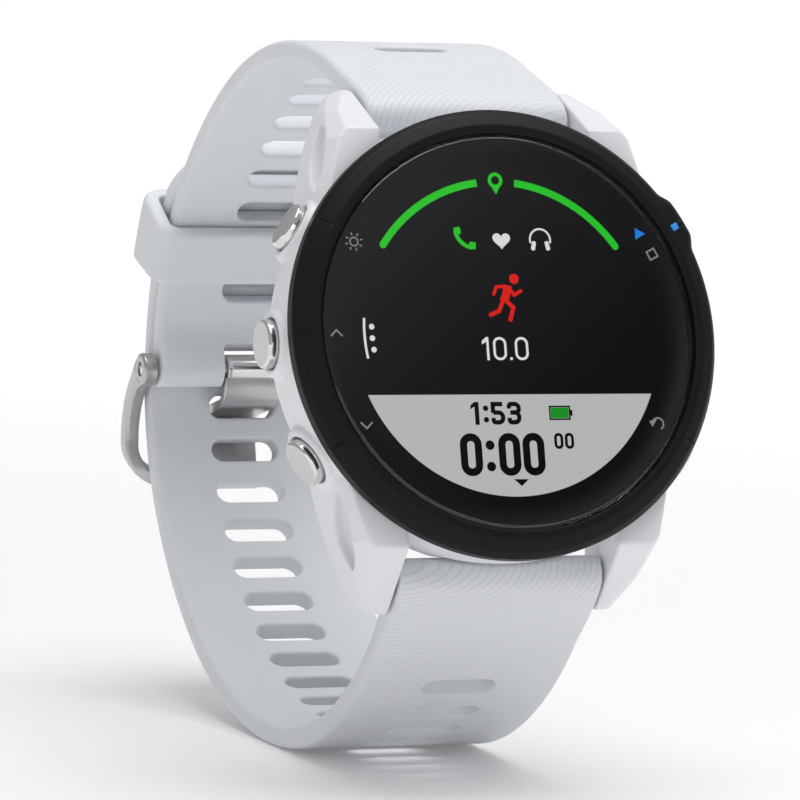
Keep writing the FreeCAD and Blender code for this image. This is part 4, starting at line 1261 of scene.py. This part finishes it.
def make_tongue():
    depth, reach = pin_place
    half = TONGUE_WIDTH / 2
    arc, angle = place_on(hole_chain, HOLE_FIRST_SLOT + (TONGUE_SLOT - 1) * SLOT_PITCH)
    slot = arc.point(angle)
    cross_depth, cross_reach = slot[0], -slot[1]
    over = bar_place[0] + FRAME_THICK / 2 + TONGUE_THICK / 2 + 0.12
    route = smooth_path([
        (depth - 0.5, reach - 1.1), (depth - 0.1, reach - 2.5), (depth + 0.8, cross_reach + 0.25),
        (depth + 1.7, cross_reach), (cross_depth + 2.3, cross_reach - 0.05), (over - 0.9, cross_reach - 0.4),
        (over - 0.2, cross_reach - 1.3), (over, cross_reach - 2.6), (over, bar_place[1] - 0.9)])
    mesh = Mesh()
    section = rounded([(-half, -TONGUE_THICK / 2), (half, -TONGUE_THICK / 2), (half, TONGUE_THICK / 2),
                       (-half, TONGUE_THICK / 2)], 0.3, 5)
    rows = []
    total = len(route)
    for i, p in enumerate(route):
        a, b = route[max(0, i - 1)], route[min(total - 1, i + 1)]
        ahead = (b - a) / np.linalg.norm(b - a)
        out = np.array((-ahead[1], ahead[0]))
        row = []
        for x, h in section:
            place = p + out * h
            row.append(mesh.add((x, place[1], -place[0])))
        rows.append(row)
    mesh.grid(rows, close_columns=True)
    mesh.face(rows[0])
    mesh.face(rows[-1][::-1])
    body = mesh.object("tongue_blade", "tongue", [M["steel_brushed"]], smooth=35.0)
    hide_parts("buckle_tongue")

    end = half - 0.25
    shape = [(-end, 0.86), (-end, TONGUE_HUB_R - 0.25), (-end + 0.07, TONGUE_HUB_R - 0.08),
             (-end + 0.25, TONGUE_HUB_R)]
    shape += [(x, TONGUE_HUB_R) for x in np.linspace(-end + 0.6, end - 0.6, 8)]
    shape += [(-x, r) for x, r in shape[3::-1]]
    hub = bar(shape, reach, depth, 64, hollow=True)
    obj = hub.object("tongue_hub", "tongue", [M["steel_polished"]], smooth=40.0)


make_buckle()
make_tongue()


# ---- Buttons ----
def make_button(name, angle):
    face = BUTTON_FACE
    profile = [(0.0, face), (0.7, face), (1.4, face), (2.05, face)]
    profile += [tuple(p) for p in rounded([(2.05, face), (2.24, face), (BUTTON_R, face - 0.22),
                                           (BUTTON_R, face - 0.8)], [0, 0.1, 0.15, 0], 4, closed=False)][1:]
    profile += [(BUTTON_R, 22.4), (BUTTON_R, 21.7), (2.36, 21.6), (2.0, 21.6), (2.0, 22.9), (0.75, 22.9),
                (0.75, 20.7), (0.45, 20.7), (0.45, 20.0), (0.75, 20.0), (0.75, 19.5), (0.5, 19.5),
                (0.5, 19.2), (0.75, 19.2), (0.75, 18.75), (0.7, 18.7), (0.0, 18.7)]
    marks = [1 if a[1] >= face - 1e-6 and b[1] >= face - 1e-6 else 0 for a, b in zip(profile, profile[1:])]
    mesh = lathe(profile, 128, marks=marks)
    aim = Matrix.Rotation(math.radians(angle), 4, "Z") @ Matrix.Rotation(math.pi / 2, 4, "Y")
    place = WATCH @ Matrix.Translation((0, 0, BUTTON_DEPTH)) @ aim
    button = mesh.object(name + "_cap", name + "_key", [M["steel_polished"], M["steel_face"]], matrix=place,
                         smooth=30.0)
    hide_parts(name + "_button")


for button_name, button_angle in BUTTON_ANGLES.items():
    make_button(button_name, button_angle)


# ---- Case: the CAD body with its edges rounded by a fine remesh ----
def make_case():
    source = frame["nodes"]["case_middle"]
    mesh = source.data.copy()
    mesh.transform(Matrix.Scale(1 / MM, 4))
    case = bpy.data.objects.new("case_body", mesh)
    bpy.context.scene.collection.objects.link(case)
    step = case.modifiers.new("remesh", "REMESH")
    step.mode = "VOXEL"
    step.voxel_size = 0.18
    apply_modifiers(case)
    step = case.modifiers.new("smooth", "SMOOTH")
    step.factor = 0.5
    step.iterations = 4
    apply_modifiers(case)
    case.data.transform(Matrix.Scale(MM, 4))
    case.data.materials.clear()
    case.data.materials.append(M["case_white"])
    soften(case, 180.0)
    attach(case, "watch_case")
    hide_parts("case_middle")


make_case()


# ---- Camera, floor and lights ----
def make_camera():
    data = bpy.data.cameras.new("camera")
    data.sensor_width = 36.0
    data.lens = 252.2
    data.clip_start, data.clip_end = 0.01, 50.0
    camera = bpy.data.objects.new("camera", data)
    bpy.context.scene.collection.objects.link(camera)
    turn = WATCH.to_3x3() * (1 / MM)
    back = turn @ Vector((-0.3721, -0.1619, 0.9140))
    up = turn @ Vector((0.0051, 0.9843, 0.1764))
    back.normalize()
    side = up.cross(back).normalized()
    up = back.cross(side)
    place = Matrix((side, up, back)).transposed().to_4x4()
    place.translation = WATCH @ Vector((-217.56, -96.18, 503.82))
    camera.matrix_world = place
    bpy.context.scene.camera = camera


GLOW_NEAR, GLOW_FAR = 0.04, 0.8     # the floor's glow grows between these distances from the strap's contact; the weak glow close in is a painted contact shadow
GLOW_LOW, GLOW_HIGH = 0.08, 0.62    # its strength there


def make_floor():
    """A pale floor that glows like a lit backdrop, with a weaker glow close under the watch as a painted
    contact shadow.
    """
    mesh = bpy.data.meshes.new("floor")
    mesh.from_pydata([(-12, -12, 0), (12, -12, 0), (12, 12, 0), (-12, 12, 0)], [], [(0, 1, 2, 3)])
    floor = bpy.data.objects.new("floor", mesh)
    bpy.context.scene.collection.objects.link(floor)
    item, tree, bsdf = shader("floor_white", (0.93, 0.93, 0.93), 0.6)
    bsdf.inputs["Emission Color"].default_value = (1, 1, 1, 1)
    place = node(tree, "ShaderNodeTexCoord")
    length = node(tree, "ShaderNodeVectorMath", operation="LENGTH")
    strap = frame["nodes"]["hole_strap"]
    contact = min((strap.matrix_world @ v.co for v in strap.data.vertices), key=lambda v: v.z)
    offset = node(tree, "ShaderNodeVectorMath", operation="SUBTRACT")
    tree.links.new(place.outputs["Object"], offset.inputs[0])
    offset.inputs[1].default_value = (0.0, contact.y, 0.0)
    tree.links.new(offset.outputs["Vector"], length.inputs[0])
    # Painted shadow: the glow is weakest around the strap's contact with the floor.
    glow = node(tree, "ShaderNodeMapRange", interpolation_type="SMOOTHSTEP")
    for name, value in (("From Min", GLOW_NEAR), ("From Max", GLOW_FAR),
                        ("To Min", GLOW_LOW), ("To Max", GLOW_HIGH)):
        glow.inputs[name].default_value = value
    tree.links.new(length.outputs["Value"], glow.inputs["Value"])
    tree.links.new(glow.outputs["Result"], bsdf.inputs["Emission Strength"])
    mesh.materials.append(item)


def area_light(name, place, aim, size, power, colour=(1, 1, 1)):
    data = bpy.data.lights.new(name, "AREA")
    data.shape = "RECTANGLE"
    data.size, data.size_y = size
    data.energy = power
    data.color = colour
    light = bpy.data.objects.new(name, data)
    bpy.context.scene.collection.objects.link(light)
    light.location = place
    light.rotation_mode = "QUATERNION"
    light.rotation_quaternion = (Vector(aim) - Vector(place)).to_track_quat("-Z", "Y")
    return light


def toward(tree, direction):
    """How far a sky direction points along a direction of the watch's frame."""
    place = node(tree, "ShaderNodeTexCoord")
    dot = node(tree, "ShaderNodeVectorMath", operation="DOT_PRODUCT")
    tree.links.new(place.outputs["Generated"], dot.inputs[0])
    dot.inputs[1].default_value = (WATCH.to_3x3() @ Vector(direction)).normalized()
    return dot.outputs["Value"]


def span(tree, value, source, target, smooth=True):
    made = node(tree, "ShaderNodeMapRange", interpolation_type="SMOOTHSTEP" if smooth else "LINEAR")
    for name, number_in in zip(("From Min", "From Max", "To Min", "To Max"), source + target):
        made.inputs[name].default_value = number_in
    tree.links.new(value, made.inputs["Value"])
    return made.outputs["Result"]


ROOM = 0.43                 # brightness of the room


def make_lights():
    """A bright room with one dark panel, which the lens mirrors on its lower right."""
    world = bpy.data.worlds.new("studio")
    world.use_nodes = True
    tree = world.node_tree
    background = tree.nodes["Background"]
    background.inputs["Color"].default_value = (0.97, 0.985, 1.0, 1.0)
    slope = span(tree, toward(tree, (-1.0, 1.0, 0.0)), (-0.188, -0.10), (0.0, 1.0), False)
    fade = span(tree, arith(tree, "POWER", slope, 2.0), (0.0, 1.0), (0.03, ROOM), False)
    panel = span(tree, toward(tree, (0.39, 0.17, 0.905)), (0.76, 0.86), (0.0, 1.0))
    drop = arith(tree, "MULTIPLY", arith(tree, "SUBTRACT", ROOM, fade), panel)
    tree.links.new(arith(tree, "SUBTRACT", ROOM, drop), background.inputs["Strength"])
    bpy.context.scene.world = world
    area_light("top_box", (0.08, -0.08, 0.7), (0, 0, 0.03), (0.6, 0.6), 3.7)
    area_light("low_box", (0.1, -0.9, 0.1), (0, 0, 0.04), (0.4, 0.3), 0.5)


make_camera()
make_floor()
make_lights()
bpy.context.scene.view_settings.view_transform = "Standard"
